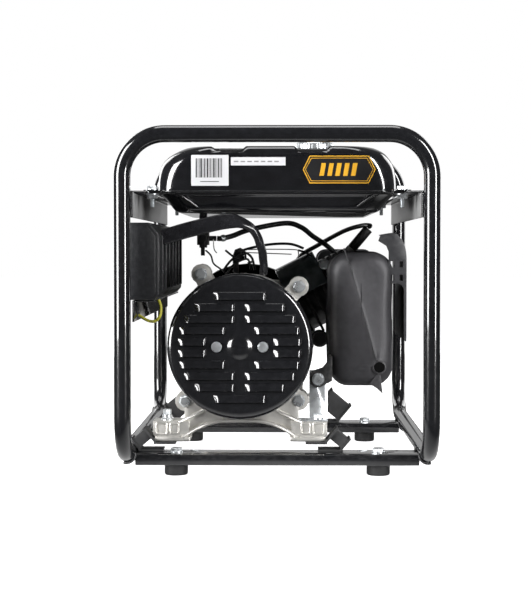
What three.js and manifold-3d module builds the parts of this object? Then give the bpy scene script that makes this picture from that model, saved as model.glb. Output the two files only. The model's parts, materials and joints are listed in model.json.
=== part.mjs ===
// An open-frame portable generator: a bent-tube cradle that carries a fuel tank, a control box,
// an alternator and a single-cylinder engine. Millimetres, +X to the right of the alternator end,
// +Y from the alternator towards the recoil starter, +Z up, with the origin on the ground under
// the middle of the frame.
import * as THREE from "three";
import { mergeVertices } from "three/addons/utils/BufferGeometryUtils.js";
import Module from "manifold-3d";

const wasm = await Module();
wasm.setup();

// ---- Driving dimensions ----
const LENGTH = 590; // over the two hoops, along Y
const WIDTH = 420; // over the tubes, along X
const HEIGHT = 460; // ground to the top of the hoops
const TUBE_RADIUS = 11;
const TUBE_SIDES = 12;
const HOOP_BEND = 55; // centre-line radius of every bend in the cradle
const RAIL_Z = 31; // centre line of the bottom rails
const GAP = 0.3; // left between pieces that touch

const HOOP_X = WIDTH / 2 - TUBE_RADIUS;
const HOOP_Y = LENGTH / 2 - TUBE_RADIUS;
const HOOP_Z = HEIGHT - TUBE_RADIUS;
const INNER_X = HOOP_X - TUBE_RADIUS - GAP; // inner faces of the uprights

const CHANNEL_TOP = 30;
const CHANNEL_HEIGHT = 14;
const CHANNEL_DEPTH = 55;
const CHANNEL_SHEET = 2.5;
const FRONT_CHANNEL_Y = -212.5;
const REAR_CHANNEL_Y = 142.5;
const FOOT_X = 135;
const FOOT_RADIUS = 16;

const AXIS_X = -50; // crank and rotor axis
const AXIS_Z = 171;
const COVER_RADIUS = 98; // louvred end cover
const COVER_FRONT = -215;
const PAD_OFFSET = 93; // alternator feet either side of the axis
const PAD_DEPTH = 128; // axis to the underside of the alternator feet
const BASE_DEPTH = 110; // axis to the underside of the crankcase
const STROKE = 44;
const CYLINDER_TILT = THREE.MathUtils.degToRad(27);

const TANK_FRONT = -205;
const TANK_REAR = 190;
const TANK_SEAM = 378;
const TANK_TOP = 440;
const TANK_BOTTOM = 351;
const TANK_WALL = 2;
const TANK_BOLT_X = 165;
const TANK_BOLTS_Y = [TANK_FRONT - 20, TANK_REAR + 20];
const CAP_X = 52;
const CAP_Y = -60;

const TAP = { x: -114, y: 60, z: 318 }; // fuel tap under the tank

const BOX_OUTER_X = -203; // control box
const BOX_INNER_X = -154;
const BOX_FRONT = -258;
const BOX_REAR = 150;
const BOX_BOTTOM = 235;
const BOX_TOP = 336;
const BOX_WALL = 2.5;

// ---- Finishes ----
const finish = (color, roughness, metalness) => ({ color, roughness, metalness });
const GLOSS_BLACK = finish(0x0c0c0e, 0.2, 0.1);
const SATIN_BLACK = finish(0x161618, 0.5, 0.1);
const BLACK_PLASTIC = finish(0x121214, 0.45, 0);
const RUBBER = finish(0x1b1b1c, 0.8, 0);
const CAST_ALUMINIUM = finish(0xb4b0a8, 0.5, 0.8);
const ZINC = finish(0xc4ccd2, 0.35, 0.9);
const STEEL = finish(0x8b8d90, 0.35, 0.9);
const EXHAUST_GREY = finish(0x3a393c, 0.6, 0.3);
const COPPER = finish(0x9a5a2c, 0.4, 0.8);
const RED_PLASTIC = finish(0xa01c14, 0.4, 0);
const GREY_PLASTIC = finish(0x4a4c50, 0.5, 0);
const EARTH_GREEN = finish(0xb8a020, 0.5, 0);

const root = new THREE.Group();

// ---- Solids ----
// A closed three.js geometry as a solid that can be joined and cut, with its faces turned outwards.
function solid(geometry) {
  const bare = geometry.clone();
  bare.deleteAttribute("normal");
  bare.deleteAttribute("uv");
  const merged = mergeVertices(bare, 1e-3);
  const vertProperties = merged.attributes.position.array;
  const triVerts = new Uint32Array(merged.index.array);
  const made = new wasm.Manifold(new wasm.Mesh({ numProp: 3, vertProperties, triVerts }));
  if (made.volume() > 0) return made;
  return new wasm.Manifold(new wasm.Mesh({ numProp: 3, vertProperties, triVerts: triVerts.reverse() }));
}

const join = (...solids) => solids.reduce((whole, next) => whole.add(next));
const cut = (whole, ...tools) => tools.reduce((rest, tool) => rest.subtract(tool), whole);

// Adds a solid to a group as a named mesh.
function part(name, look, shape, parent = root) {
  const made = shape.getMesh();
  const geometry = new THREE.BufferGeometry();
  geometry.setAttribute("position", new THREE.BufferAttribute(made.vertProperties, 3));
  geometry.setIndex(new THREE.BufferAttribute(made.triVerts, 1));
  geometry.computeVertexNormals();
  const mesh = new THREE.Mesh(geometry, new THREE.MeshStandardMaterial(look));
  mesh.name = name;
  parent.add(mesh);
  return mesh;
}

// A box from its lowest to its highest corner.
function block(x0, x1, y0, y1, z0, z1) {
  const box = new THREE.BoxGeometry(x1 - x0, y1 - y0, z1 - z0);
  return solid(box.translate((x0 + x1) / 2, (y0 + y1) / 2, (z0 + z1) / 2));
}

// A box turned about Y by an angle above +X, with its middle at a point.
function slantedBlock(length, depth, thickness, x, y, z, angle) {
  const box = new THREE.BoxGeometry(length, depth, thickness).rotateY(-angle);
  return solid(box.translate(x, y, z));
}

// A round bar along Y, from y0 to y1.
function barY(radius, x, z, y0, y1, sides = 14) {
  const bar = new THREE.CylinderGeometry(radius, radius, y1 - y0, sides);
  return solid(bar.translate(x, (y0 + y1) / 2, z));
}

// A round bar along Z, from z0 to z1, which may taper.
function barZ(radius, x, y, z0, z1, sides = 14, topRadius = radius) {
  const bar = new THREE.CylinderGeometry(topRadius, radius, z1 - z0, sides).rotateX(Math.PI / 2);
  return solid(bar.translate(x, y, (z0 + z1) / 2));
}

// A round bar along X, from x0 to x1.
function barX(radius, x0, x1, y, z, sides = 14) {
  const bar = new THREE.CylinderGeometry(radius, radius, x1 - x0, sides).rotateZ(Math.PI / 2);
  return solid(bar.translate((x0 + x1) / 2, y, z));
}

// A body of revolution about Y, from [radius, y] points that start and end on the axis
// or close on themselves.
function turnedY(profile, sides = 26) {
  return solid(new THREE.LatheGeometry(profile.map(([r, y]) => new THREE.Vector2(r, y)), sides));
}

// The same about Z, from [radius, z] points.
function turnedZ(profile, x, y, sides = 14) {
  const points = profile.map(([r, z]) => new THREE.Vector2(r, z));
  return solid(new THREE.LatheGeometry(points, sides).rotateX(Math.PI / 2).translate(x, y, 0));
}

const outline = (points) => new THREE.Shape(points.map(([a, b]) => new THREE.Vector2(a, b)));

// An outline in X and Z, carried along Y.
function prismY(shape, y0, y1, options = {}) {
  const made = new THREE.ExtrudeGeometry(shape, {
    depth: y1 - y0, bevelEnabled: false, curveSegments: 3, ...options,
  });
  return solid(made.rotateX(Math.PI / 2).translate(0, y1, 0));
}

// An outline in X and Y, carried up Z.
function prismZ(shape, z0, z1) {
  const made = new THREE.ExtrudeGeometry(shape, { depth: z1 - z0, bevelEnabled: false, curveSegments: 3 });
  return solid(made.translate(0, 0, z0));
}

// An outline in Y and Z, carried along X.
function prismX(shape, x0, x1) {
  const made = new THREE.ExtrudeGeometry(shape, { depth: x1 - x0, bevelEnabled: false, curveSegments: 3 });
  return solid(made.rotateX(Math.PI / 2).rotateZ(Math.PI / 2).translate(x0, 0, 0));
}

// A rectangle with round corners.
function roundedRectangle(a0, a1, b0, b1, radius) {
  const shape = new THREE.Shape();
  shape.moveTo(a0 + radius, b0);
  shape.lineTo(a1 - radius, b0);
  shape.absarc(a1 - radius, b0 + radius, radius, -Math.PI / 2, 0);
  shape.lineTo(a1, b1 - radius);
  shape.absarc(a1 - radius, b1 - radius, radius, 0, Math.PI / 2);
  shape.lineTo(a0 + radius, b1);
  shape.absarc(a0 + radius, b1 - radius, radius, Math.PI / 2, Math.PI);
  shape.lineTo(a0, b0 + radius);
  shape.absarc(a0 + radius, b0 + radius, radius, Math.PI, 1.5 * Math.PI);
  return shape;
}

// ---- Tubes and cables ----
// A path through given points, which an extrusion follows point by point.
class Route extends THREE.Curve {
  constructor(points) {
    super();
    this.points = points;
  }

  getPoint(t, target = new THREE.Vector3()) {
    const along = THREE.MathUtils.clamp(t, 0, 1) * (this.points.length - 1);
    const index = Math.min(Math.floor(along), this.points.length - 2);
    return target.lerpVectors(this.points[index], this.points[index + 1], along - index);
  }

  getUtoTmapping(u) {
    return u;
  }
}

// Straight runs between corners, with each inner corner rounded to one bend radius.
function bentRoute(corners, radius, stepsPerBend = 5) {
  const points = corners.map((corner) => new THREE.Vector3(...corner));
  const path = [points[0]];
  for (let i = 1; i < points.length - 1; i += 1) {
    const into = points[i].clone().sub(points[i - 1]).normalize();
    const out = points[i + 1].clone().sub(points[i]).normalize();
    const turn = into.angleTo(out);
    const setback = radius * Math.tan(turn / 2);
    const start = points[i].clone().addScaledVector(into, -setback);
    const side = out.clone().addScaledVector(into, -out.dot(into)).normalize();
    for (let k = 0; k <= stepsPerBend; k += 1) {
      const angle = (turn * k) / stepsPerBend;
      const point = start.clone().addScaledVector(into, radius * Math.sin(angle));
      path.push(point.addScaledVector(side, radius * (1 - Math.cos(angle))));
    }
  }
  path.push(points[points.length - 1]);
  return new Route(path);
}

// A smooth path through hand-chosen points.
function softRoute(corners, steps) {
  const curve = new THREE.CatmullRomCurve3(corners.map((corner) => new THREE.Vector3(...corner)));
  return new Route(curve.getSpacedPoints(steps));
}

function ellipse(halfWidth, halfHeight, sides) {
  const points = Array.from({ length: sides }, (_, i) => {
    const angle = (2 * Math.PI * i) / sides;
    return [halfWidth * Math.cos(angle), halfHeight * Math.sin(angle)];
  });
  return outline(points);
}

function tube(route, section) {
  return solid(new THREE.ExtrudeGeometry(section, {
    steps: route.points.length - 1, bevelEnabled: false, extrudePath: route,
  }));
}

// ---- Cradle ----
const ROUND_TUBE = ellipse(TUBE_RADIUS, TUBE_RADIUS, TUBE_SIDES);
const RAIL_END_Y = HOOP_Y - HOOP_BEND - 6;

// An upright loop whose two legs bend inwards to meet the bottom rails.
function addHoop(name, side) {
  const y = side * HOOP_Y;
  const endY = side * (RAIL_END_Y + GAP / 2);
  const corners = [
    [-HOOP_X, endY, RAIL_Z], [-HOOP_X, y, RAIL_Z], [-HOOP_X, y, HOOP_Z],
    [HOOP_X, y, HOOP_Z], [HOOP_X, y, RAIL_Z], [HOOP_X, endY, RAIL_Z],
  ];
  part(name, GLOSS_BLACK, tube(bentRoute(corners, HOOP_BEND), ROUND_TUBE));
}

function addBottomRail(name, x) {
  const reach = RAIL_END_Y - GAP / 2;
  part(name, GLOSS_BLACK, barY(TUBE_RADIUS, x, RAIL_Z, -reach, reach, TUBE_SIDES));
}

// A pressed channel, open underneath, that crosses the frame between the bottom rails.
function addChannel(name, y) {
  const bottom = CHANNEL_TOP - CHANNEL_HEIGHT;
  const half = CHANNEL_DEPTH / 2;
  const outer = block(-INNER_X, INNER_X, y - half, y + half, bottom, CHANNEL_TOP);
  const inner = block(
    -WIDTH, WIDTH, y - half + CHANNEL_SHEET, y + half - CHANNEL_SHEET,
    bottom - 1, CHANNEL_TOP - CHANNEL_SHEET,
  );
  part(name, SATIN_BLACK, cut(outer, inner));
}

// A rubber foot that stands in the channel and reaches the ground.
function addFoot(name, x, y) {
  const top = CHANNEL_TOP - CHANNEL_SHEET - GAP;
  const profile = [[0, 0], [FOOT_RADIUS - 1, 0], [FOOT_RADIUS, 1.5], [FOOT_RADIUS, top], [0, top]];
  part(name, RUBBER, turnedZ(profile, x, y));
}

// An angle rail under the tank, with an ear at each tank bolt.
function addTankRail(name, side) {
  const top = TANK_SEAM - 1;
  const sheet = 2.5;
  const reach = HOOP_Y - TUBE_RADIUS - 4;
  const along = (inner, outer, y0, y1, z0, z1) => {
    const ends = [side * inner, side * outer].sort((a, b) => a - b);
    return block(ends[0], ends[1], y0, y1, z0, z1);
  };
  const web = along(INNER_X - sheet, INNER_X, -reach, reach, TANK_BOTTOM - 9, top);
  const flange = along(TANK_BOLT_X + 3, INNER_X, -reach, reach, top - sheet, top);
  const ears = TANK_BOLTS_Y.map((y) => along(TANK_BOLT_X - 13, INNER_X, y - 12, y + 12, top - sheet, top));
  part(name, GLOSS_BLACK, join(web, flange, ...ears));
}

// The angle rail that the control box stands on.
function addControlRail() {
  const sheet = 2.5;
  const top = BOX_BOTTOM - GAP;
  const reach = HOOP_Y - TUBE_RADIUS - 4;
  const web = block(-INNER_X, -INNER_X + sheet, -reach, reach, top - 28, top);
  const flange = block(-INNER_X, BOX_INNER_X - 6, -reach + 20, reach - 100, top - sheet, top);
  part("control_rail", GLOSS_BLACK, join(web, flange));
}

// A rubber block bonded between two steel plates, one bolted to the channel and one under the machine.
function addIsolator(name, side, middle, y, { z, gap, length, padReach, padZ, depth }) {
  const tilt = THREE.MathUtils.degToRad(50);
  const sheet = 2.5;
  const angle = side * tilt;
  const [sin, cos] = [Math.sin(tilt), Math.cos(tilt)];
  const reach = Math.max(0, (z + (gap / 2) * cos - (length / 2) * sin - padZ + sheet / 2) / sin);
  const plate = (offset, extra) => slantedBlock(
    length + extra, depth, sheet,
    middle - side * (offset * sin + (extra / 2) * cos), y, z + offset * cos - (extra / 2) * sin, angle,
  );
  const rubber = slantedBlock(length - 5, depth - 6, gap, middle, y, z, angle);
  const strip = (x, run, z0) => {
    const ends = [x + side * 3, x - side * run].sort((a, b) => a - b);
    return block(ends[0], ends[1], y - depth / 2, y + depth / 2, z0, z0 + sheet);
  };
  const foot = strip(middle + side * ((gap / 2) * sin - (length / 2) * cos), 30, CHANNEL_TOP + GAP);
  const pad = strip(middle - side * ((gap / 2) * sin + (length / 2 + reach) * cos), padReach, padZ - sheet);
  part(name, RUBBER, join(plate(-gap / 2, 0), rubber, plate(gap / 2, reach), foot, pad));
}

function buildCradle() {
  addHoop("front_hoop", -1);
  addHoop("rear_hoop", 1);
  addBottomRail("left_rail", -HOOP_X);
  addBottomRail("right_rail", HOOP_X);
  addChannel("front_channel", FRONT_CHANNEL_Y);
  addChannel("rear_channel", REAR_CHANNEL_Y);
  addTankRail("left_tank_rail", -1);
  addTankRail("right_tank_rail", 1);
  addControlRail();
  const front = { z: 47, gap: 22, length: 20, padReach: 26, padZ: AXIS_Z - PAD_DEPTH - GAP, depth: 36 };
  const rear = { z: 57, gap: 38, length: 34, padReach: 12, padZ: AXIS_Z - BASE_DEPTH - GAP, depth: 40 };
  const frontX = { left: -181.5, right: 83 };
  const rearX = { left: -154, right: 88 };
  for (const [hand, side] of [["left", -1], ["right", 1]]) {
    addFoot(`foot_front_${hand}`, side * FOOT_X, FRONT_CHANNEL_Y);
    addFoot(`foot_rear_${hand}`, side * FOOT_X, REAR_CHANNEL_Y);
    addIsolator(`isolator_front_${hand}`, side, frontX[hand], FRONT_CHANNEL_Y + 20, front);
    addIsolator(`isolator_rear_${hand}`, side, rearX[hand], REAR_CHANNEL_Y, rear);
  }
}

// ---- Fuel tank ----
// The pressed body of the tank, as the overlap of its three outlines, drawn in by an inset all round.
function tankBody(inset) {
  const left = -161 + inset;
  const right = 160 - inset;
  const top = TANK_TOP - inset;
  const bottom = TANK_BOTTOM + inset;
  const across = new THREE.Shape();
  across.moveTo(-139 + inset, bottom);
  across.lineTo(139 - inset, bottom);
  across.lineTo(155 - inset, bottom + 10);
  across.lineTo(right, TANK_SEAM);
  across.lineTo(146 - inset, top - 10);
  across.quadraticCurveTo(142 - inset, top, 130 - inset, top);
  across.lineTo(-124 + inset, top);
  across.quadraticCurveTo(-134 + inset, top, -141 + inset, top - 10);
  across.quadraticCurveTo(-158 + inset, TANK_SEAM + 32, left, TANK_SEAM);
  across.lineTo(left + 2, bottom + 20);
  const front = TANK_FRONT + inset;
  const rear = TANK_REAR - inset;
  const along = new THREE.Shape();
  along.moveTo(front + 14, bottom);
  along.lineTo(rear - 14, bottom);
  along.lineTo(rear, TANK_SEAM - 8);
  along.lineTo(rear, TANK_SEAM + 8);
  along.lineTo(rear - 6, top - 14);
  along.quadraticCurveTo(rear - 9, top, rear - 26, top);
  along.lineTo(front + 20, top);
  along.quadraticCurveTo(front + 6, top, front + 3, top - 14);
  along.lineTo(front, TANK_SEAM + 8);
  along.lineTo(front, TANK_SEAM - 8);
  const plan = roundedRectangle(left, right, front, rear, 26 - inset);
  return prismY(across, front - 1, rear + 1)
    .intersect(prismX(along, left - 1, right + 1))
    .intersect(prismZ(plan, bottom - 1, top + 1));
}

function buildTank() {
  const everything = 2 * LENGTH;
  const seamLow = TANK_SEAM - GAP / 2;
  const seamHigh = TANK_SEAM + GAP / 2;
  const sheet = 1.3;
  const shell = cut(tankBody(0), tankBody(TANK_WALL));
  const above = block(-everything, everything, -everything, everything, seamHigh, HEIGHT);
  const below = block(-everything, everything, -everything, everything, 0, seamLow);
  const inside = tankBody(TANK_WALL);
  const flangePlan = roundedRectangle(-166, 165, TANK_FRONT - 5, TANK_REAR + 5, 28);
  const upperFlange = cut(prismZ(flangePlan, seamHigh, seamHigh + sheet), inside);
  const lowerFlange = cut(prismZ(flangePlan, TANK_SEAM - 1 + GAP, seamLow), inside);
  const ears = [];
  for (const y of TANK_BOLTS_Y) {
    const inner = y < 0 ? y + 24 : y - 24;
    const outer = y < 0 ? y - 12 : y + 12;
    for (const side of [-1, 1]) {
      const xs = [side * 128, side * (TANK_BOLT_X + 12)].sort((a, b) => a - b);
      const ys = [inner, outer].sort((a, b) => a - b);
      ears.push(prismZ(roundedRectangle(...xs, ...ys, 8), TANK_SEAM - 1 + GAP, seamLow));
    }
  }
  const lower = join(shell.intersect(below), lowerFlange, cut(join(...ears), inside));
  const tapHole = barZ(6.6, TAP.x, TAP.y, TANK_BOTTOM - 5, TANK_BOTTOM + 8, 12);
  part("tank_lower_shell", GLOSS_BLACK, cut(lower, tapHole));

  const dips = [[-87, -44], [25, 68]].map(([x0, x1]) => (
    [block(x0, x1, TANK_FRONT - 1, TANK_FRONT + 60, TANK_TOP - 4, HEIGHT),
      block(x0 - 2, x1 + 2, TANK_FRONT + 3, TANK_FRONT + 62, TANK_TOP - 6, TANK_TOP - 4)]));
  const neckTop = TANK_TOP + 7;
  const neck = barZ(22, CAP_X, CAP_Y, TANK_TOP - TANK_WALL, neckTop, 18);
  const bore = barZ(19.5, CAP_X, CAP_Y, TANK_TOP - 20, neckTop + 5, 18);
  let upper = join(shell.intersect(above), upperFlange);
  for (const [dip, floor] of dips) upper = cut(join(upper, floor.intersect(tankBody(0))), dip);
  part("tank_upper_shell", GLOSS_BLACK, cut(join(upper, neck), bore));

  const cap = [
    [0, TANK_TOP + 15], [20, TANK_TOP + 15], [26, TANK_TOP + 13], [28, TANK_TOP + 9], [28, TANK_TOP + 0.8],
    [25, TANK_TOP + 0.8], [25, neckTop + 0.6], [0, neckTop + 0.6],
  ];
  part("fuel_cap", ZINC, turnedZ(cap, CAP_X, CAP_Y, 20));
}

// ---- Fuel tap and hose ----
function buildFuelTap() {
  const body = join(
    barZ(6, TAP.x, TAP.y, TAP.z - 14, TANK_BOTTOM + 6, 12),
    block(TAP.x - 9, TAP.x + 9, TAP.y - 9, TAP.y + 9, TAP.z - 10, TAP.z + 10),
    barX(4, TAP.x, TAP.x + 20, TAP.y, TAP.z, 12),
  );
  part("fuel_tap", SATIN_BLACK, body);
  const pivotY = TAP.y - 9 - GAP;
  const lever = join(
    barY(6, TAP.x, TAP.z, pivotY - 5, pivotY, 14),
    block(TAP.x - 3, TAP.x + 3, pivotY - 5, pivotY - 1, TAP.z - 26, TAP.z),
  );
  part("tap_lever", BLACK_PLASTIC, lever);
}


// ---- Alternator, in a group whose origin is on the rotor axis ----
const machine = new THREE.Group();
machine.position.set(AXIS_X, 0, AXIS_Z);
root.add(machine);

const BELL_FRONT = COVER_FRONT + 25.5;
const LOUVRE_PITCH = 15.25;
const LOUVRE_ROWS = [[45, 82], [19.5, 80], [7, 74], [7, 60], [-35, 35]]; // from the axis outwards
const EARS = [[-53, 97], [79, 80], [-75, -75], [79, -74]];
const SHAFT_CLEARANCE = 0.5;

function addEndCover() {
  const sheet = 2;
  const profile = [
    [0, COVER_FRONT - 4], [12, COVER_FRONT - 3], [17.5, COVER_FRONT],
    [COVER_RADIUS - 4, COVER_FRONT], [COVER_RADIUS, COVER_FRONT + 4], [COVER_RADIUS, BELL_FRONT - GAP],
    [COVER_RADIUS - sheet, BELL_FRONT - GAP], [COVER_RADIUS - sheet, COVER_FRONT + 5],
    [COVER_RADIUS - 5, COVER_FRONT + sheet], [0, COVER_FRONT + sheet],
  ];
  const slots = [];
  LOUVRE_ROWS.forEach(([inner, outer], row) => {
    for (const up of [-1, 1]) {
      const z = up * (row + 0.5) * LOUVRE_PITCH;
      const slot = (x0, x1) => block(x0 + 2, x1 - 2, COVER_FRONT - 1, COVER_FRONT + 3, z - 5, z - 0.5);
      slots.push(slot(inner, outer));
      if (inner > 0) slots.push(slot(-outer, -inner));
    }
  });
  part("alternator_end_cover", GLOSS_BLACK, cut(turnedY(profile, 32), ...slots), machine);
}

// The cast end frame: a ring with a spoked bearing hub, four bolt ears and two legs.
function addEndBell() {
  const rear = -131;
  const ring = turnedY([[83, BELL_FRONT], [97.5, BELL_FRONT], [97.5, rear], [83, rear], [83, BELL_FRONT]]);
  const hub = turnedY([[13, -186], [27, -186], [27, -166], [13, -166], [13, -186]], 16);
  const spokes = [45, 135].map((degrees) => {
    const spoke = new THREE.BoxGeometry(170, 12, 9).rotateY(THREE.MathUtils.degToRad(degrees));
    return cut(solid(spoke.translate(0, -176, 0)), barY(20, 0, 0, -190, -160));
  });
  const ears = EARS.map(([x, z]) => {
    const reach = Math.hypot(x, z);
    const web = slantedBlock(26, -145 - BELL_FRONT - 1, 23, x * (1 - 13 / reach), (BELL_FRONT - 144) / 2,
      z * (1 - 13 / reach), Math.atan2(z, x));
    return join(barY(13.5, x, z, BELL_FRONT + 1, -145), web);
  });
  const pads = [-1, 1].map((side) => {
    const xs = [side * (PAD_OFFSET - 24), side * (PAD_OFFSET + 24)].sort((a, b) => a - b);
    const pad = outline([
      [xs[0], -PAD_DEPTH + 9], [xs[0] + 9, -PAD_DEPTH], [xs[1] - 9, -PAD_DEPTH], [xs[1], -PAD_DEPTH + 9],
      [xs[1], -101], [xs[0], -101],
    ]);
    return prismY(pad, -203, -158);
  });
  const arms = prismY(outline([
    [-100, -124], [-72, -124], [-58, -114], [-30, -102], [0, -98.5], [30, -102], [58, -114], [72, -124],
    [100, -124], [100, -102], [79, -102], [79, -74], [60, -62], [0, -84], [-60, -62],
    [-75, -75], [-76, -102],
    [-100, -102],
  ]), BELL_FRONT, -165);
  part("alternator_end_bell", CAST_ALUMINIUM, join(ring, hub, ...spokes, ...ears, ...pads, arms), machine);
}

// Everything that turns with the crank, and the stator round it.
function addRotatingGroup() {
  const stator = [
    [60, -165], [80, -165], [80, -130.7], [92, -130.7], [92, -40], [60, -40], [60, -165],
  ];
  part("stator", STEEL, turnedY(stator), machine);
  const core = [[15 + GAP, -150], [56, -150], [56, -44], [15 + GAP, -44], [15 + GAP, -150]];
  part("rotor_core", COPPER, turnedY(core, 20), machine);

  const hub = turnedY([[15 + GAP, -36], [76, -36], [76, -33], [30, -33], [30, -14], [15 + GAP, -14],
    [15 + GAP, -36]], 20);
  const blades = Array.from({ length: 8 }, (_, i) => {
    const blade = new THREE.BoxGeometry(48, 18, 2).translate(50, -25, 0).rotateY((i * Math.PI) / 4);
    return solid(blade);
  });
  part("cooling_fan", GREY_PLASTIC, join(hub, ...blades), machine);

  const webs = [[76, 88], [112, 124]].map(([y0, y1]) => barY(42, 0, 0, y0, y1, 18));
  const journals = [
    [12, -187, -150], [15, -150, 30], [16, 30, 77], [16, 123, 182], [9, 182, 225],
  ].map(([radius, y0, y1]) => barY(radius, 0, 0, y0 - 0.5, y1, 14));
  const pin = barY(16, STROKE / 2, 0, 87, 113, 12);
  part("crankshaft", STEEL, join(...journals, ...webs, pin), machine);

  const wheel = turnedY([
    [16 + GAP, 172], [94, 172], [94, 196], [60, 196], [60, 188], [30, 188], [30, 180], [16 + GAP, 180],
    [16 + GAP, 172],
  ]);
  const fins = Array.from({ length: 8 }, (_, i) => {
    const fin = new THREE.BoxGeometry(28, 19, 3).translate(77, 205, 0).rotateY((i * Math.PI) / 4);
    return solid(fin);
  });
  part("flywheel", STEEL, join(wheel, ...fins), machine);
}

function addAdaptor() {
  const profile = [
    [19, 15], [86, 15], [86, -39.7], [95, -39.7], [95, 39.7], [19, 39.7], [19, 15],
  ];
  part("alternator_adaptor", CAST_ALUMINIUM, turnedY(profile), machine);
}

// ---- Engine ----
function addCrankcase() {
  const outer = outline([[-72, -100], [84, -100], [95.8, -7.4], [50.4, 81.8], [-25, 92], [-72, 55]]);
  const inner = outline([[-66, -94], [79, -94], [89, -8], [46, 75], [-23, 86], [-66, 52]]);
  const shell = cut(prismY(outer, 40, 165), prismY(inner, 39, 158));
  const base = block(-80, 114, 122, 163, -BASE_DEPTH, -98);
  const bore = solid(new THREE.CylinderGeometry(35.5, 35.5, 60, 16)
    .rotateZ(Math.PI / 2).translate(85, 0, 0).rotateY(-CYLINDER_TILT).translate(0, 100, 0));
  const mainBearing = barY(16 + SHAFT_CLEARANCE + 0.4, 0, 0, 150, 170, 16);
  const fillHole = barX(8.5, -75, -60, 145, -60, 12);
  const whole = cut(join(shell, base), prismY(inner, 39, 158), bore, mainBearing, fillHole);
  part("crankcase", CAST_ALUMINIUM, whole, machine);
  const cap = join(barX(13, -90, -72 - GAP, 145, -60, 12), barX(4, -73, -38, 145, -60, 10));
  part("oil_dipstick", GREY_PLASTIC, cap, machine);
}

// The inclined cylinder's own group: +X runs out along the bore, and its origin is on the crank axis.
const bank = new THREE.Group();
bank.position.set(0, 100, 0);
bank.rotation.y = -CYLINDER_TILT;
machine.add(bank);

const HEAD_START = 150.3;
const HEAD_END = 190;

function addCylinder() {
  const fins = Array.from({ length: 4 }, (_, i) => block(92 + 15 * i, 96 + 15 * i, -46, 46, -48, 48));
  const barrel = cut(join(barX(41, 82.4, 150, 0, 0, 20), ...fins), barX(34.8, 80, 152, 0, 0, 20));
  part("cylinder", CAST_ALUMINIUM, barrel, bank);

  const piston = cut(barX(33.7, 66, 104, 0, 0, 20), barX(27, 60, 96, 0, 0, 14));
  part("piston", STEEL, piston, bank);

  const grooves = [0, 1, 2].map((i) => block(158 + 10 * i, 162 + 10 * i, -52, 52, 38, 52));
  const sideGrooves = [0, 1, 2].map((i) => block(158 + 10 * i, 162 + 10 * i, -52, -40, -52, 38));
  const head = block(HEAD_START, HEAD_END, -50, 50, -50, 50);
  part("cylinder_head", CAST_ALUMINIUM, cut(head, ...grooves, ...sideGrooves), bank);

  const cover = prismX(roundedRectangle(-40, 40, -44, 26, 10), HEAD_END + GAP, 224);
  part("valve_cover", SATIN_BLACK, cover, bank);
}

// A bent sheet that wraps the top and the near side of the cylinder.
function addCylinderShroud() {
  const bent = (inset) => {
    const shape = new THREE.Shape();
    shape.moveTo(-58 + inset, 16);
    shape.lineTo(-20, 16);
    shape.lineTo(50, 16);
    shape.lineTo(50, 68 - inset);
    shape.lineTo(-20, 68 - inset);
    shape.absarc(-20, 30, 38 - inset, Math.PI / 2, Math.PI);
    return shape;
  };
  const inner = prismX(bent(2), 80, 152);
  const underside = block(80, 152, -56, 60, 10, 30);
  part("cylinder_shroud", GLOSS_BLACK, cut(prismX(bent(0), 84, 148), inner, underside), bank);
}

function addSparkPlug() {
  const place = new THREE.Group();
  place.position.set(HEAD_END, -25, 38);
  place.rotation.y = THREE.MathUtils.degToRad(-23);
  bank.add(place);
  part("spark_plug", STEEL, join(barX(8, 5, 15, 0, 0, 6), barX(4.8, 14, 24, 0, 0, 12)), place);
  const boot = cut(barX(7.5, 15 + GAP, 54, 0, 0, 16), barX(5.2, 14, 26, 0, 0, 14));
  part("spark_plug_boot", RUBBER, boot, place);
}

function addIntake() {
  const body = join(
    block(152, 186, 50.3, 92, -20, 20),
    barY(26, 169, 0, 70, 95.2, 20),
    barZ(12, 169, 66, -44, -19),
  );
  part("carburettor", CAST_ALUMINIUM, body, bank);
  const lever = join(barZ(5, 162, 84, 27, 33, 12), block(138, 162, 81, 87, 29, 31.5));
  part("choke_lever", GREY_PLASTIC, lever, bank);
  part("air_filter_base", BLACK_PLASTIC, cut(
    prismY(roundedRectangle(62, 150, 200, 300, 14), 195.5, 215), barY(13, 99.7, 247.7, 190, 220),
  ));
  const cover = prismY(roundedRectangle(60, 152, 198, 302, 16), 215 + GAP, 262);
  const hollow = prismY(roundedRectangle(62.5, 149.5, 200.5, 299.5, 14), 214, 259);
  part("air_filter_cover", BLACK_PLASTIC, cut(cover, hollow));
}

function addRecoilEnd() {
  const housing = [
    [106, 165 + GAP], [108, 165 + GAP], [108, 228], [86, 228], [86, 226], [106, 226], [106, 165 + GAP],
  ];
  part("fan_housing", GLOSS_BLACK, turnedY(housing, 28), machine);
  const cover = [
    [0, 252], [60, 252], [82, 243], [90, 228 + GAP], [88, 228 + GAP], [80.5, 241.4], [59.5, 250], [0, 250],
  ];
  const slots = Array.from({ length: 6 }, (_, i) => {
    const slot = new THREE.BoxGeometry(26, 12, 7).translate(44, 251, 0).rotateY((i * Math.PI) / 3);
    return solid(slot);
  });
  const rope = barY(3.5, 0, 66, 240, 260, 10);
  part("recoil_cover", GLOSS_BLACK, cut(turnedY(cover, 28), ...slots, rope), machine);
  const grip = prismY(roundedRectangle(-42, 42, 58, 75, 8), 252 + GAP, 269);
  part("recoil_handle", RUBBER, grip, machine);
}

// ---- Exhaust ----
const MUFFLER_FRONT = -150;
const MUFFLER_REAR = 25;

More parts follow.
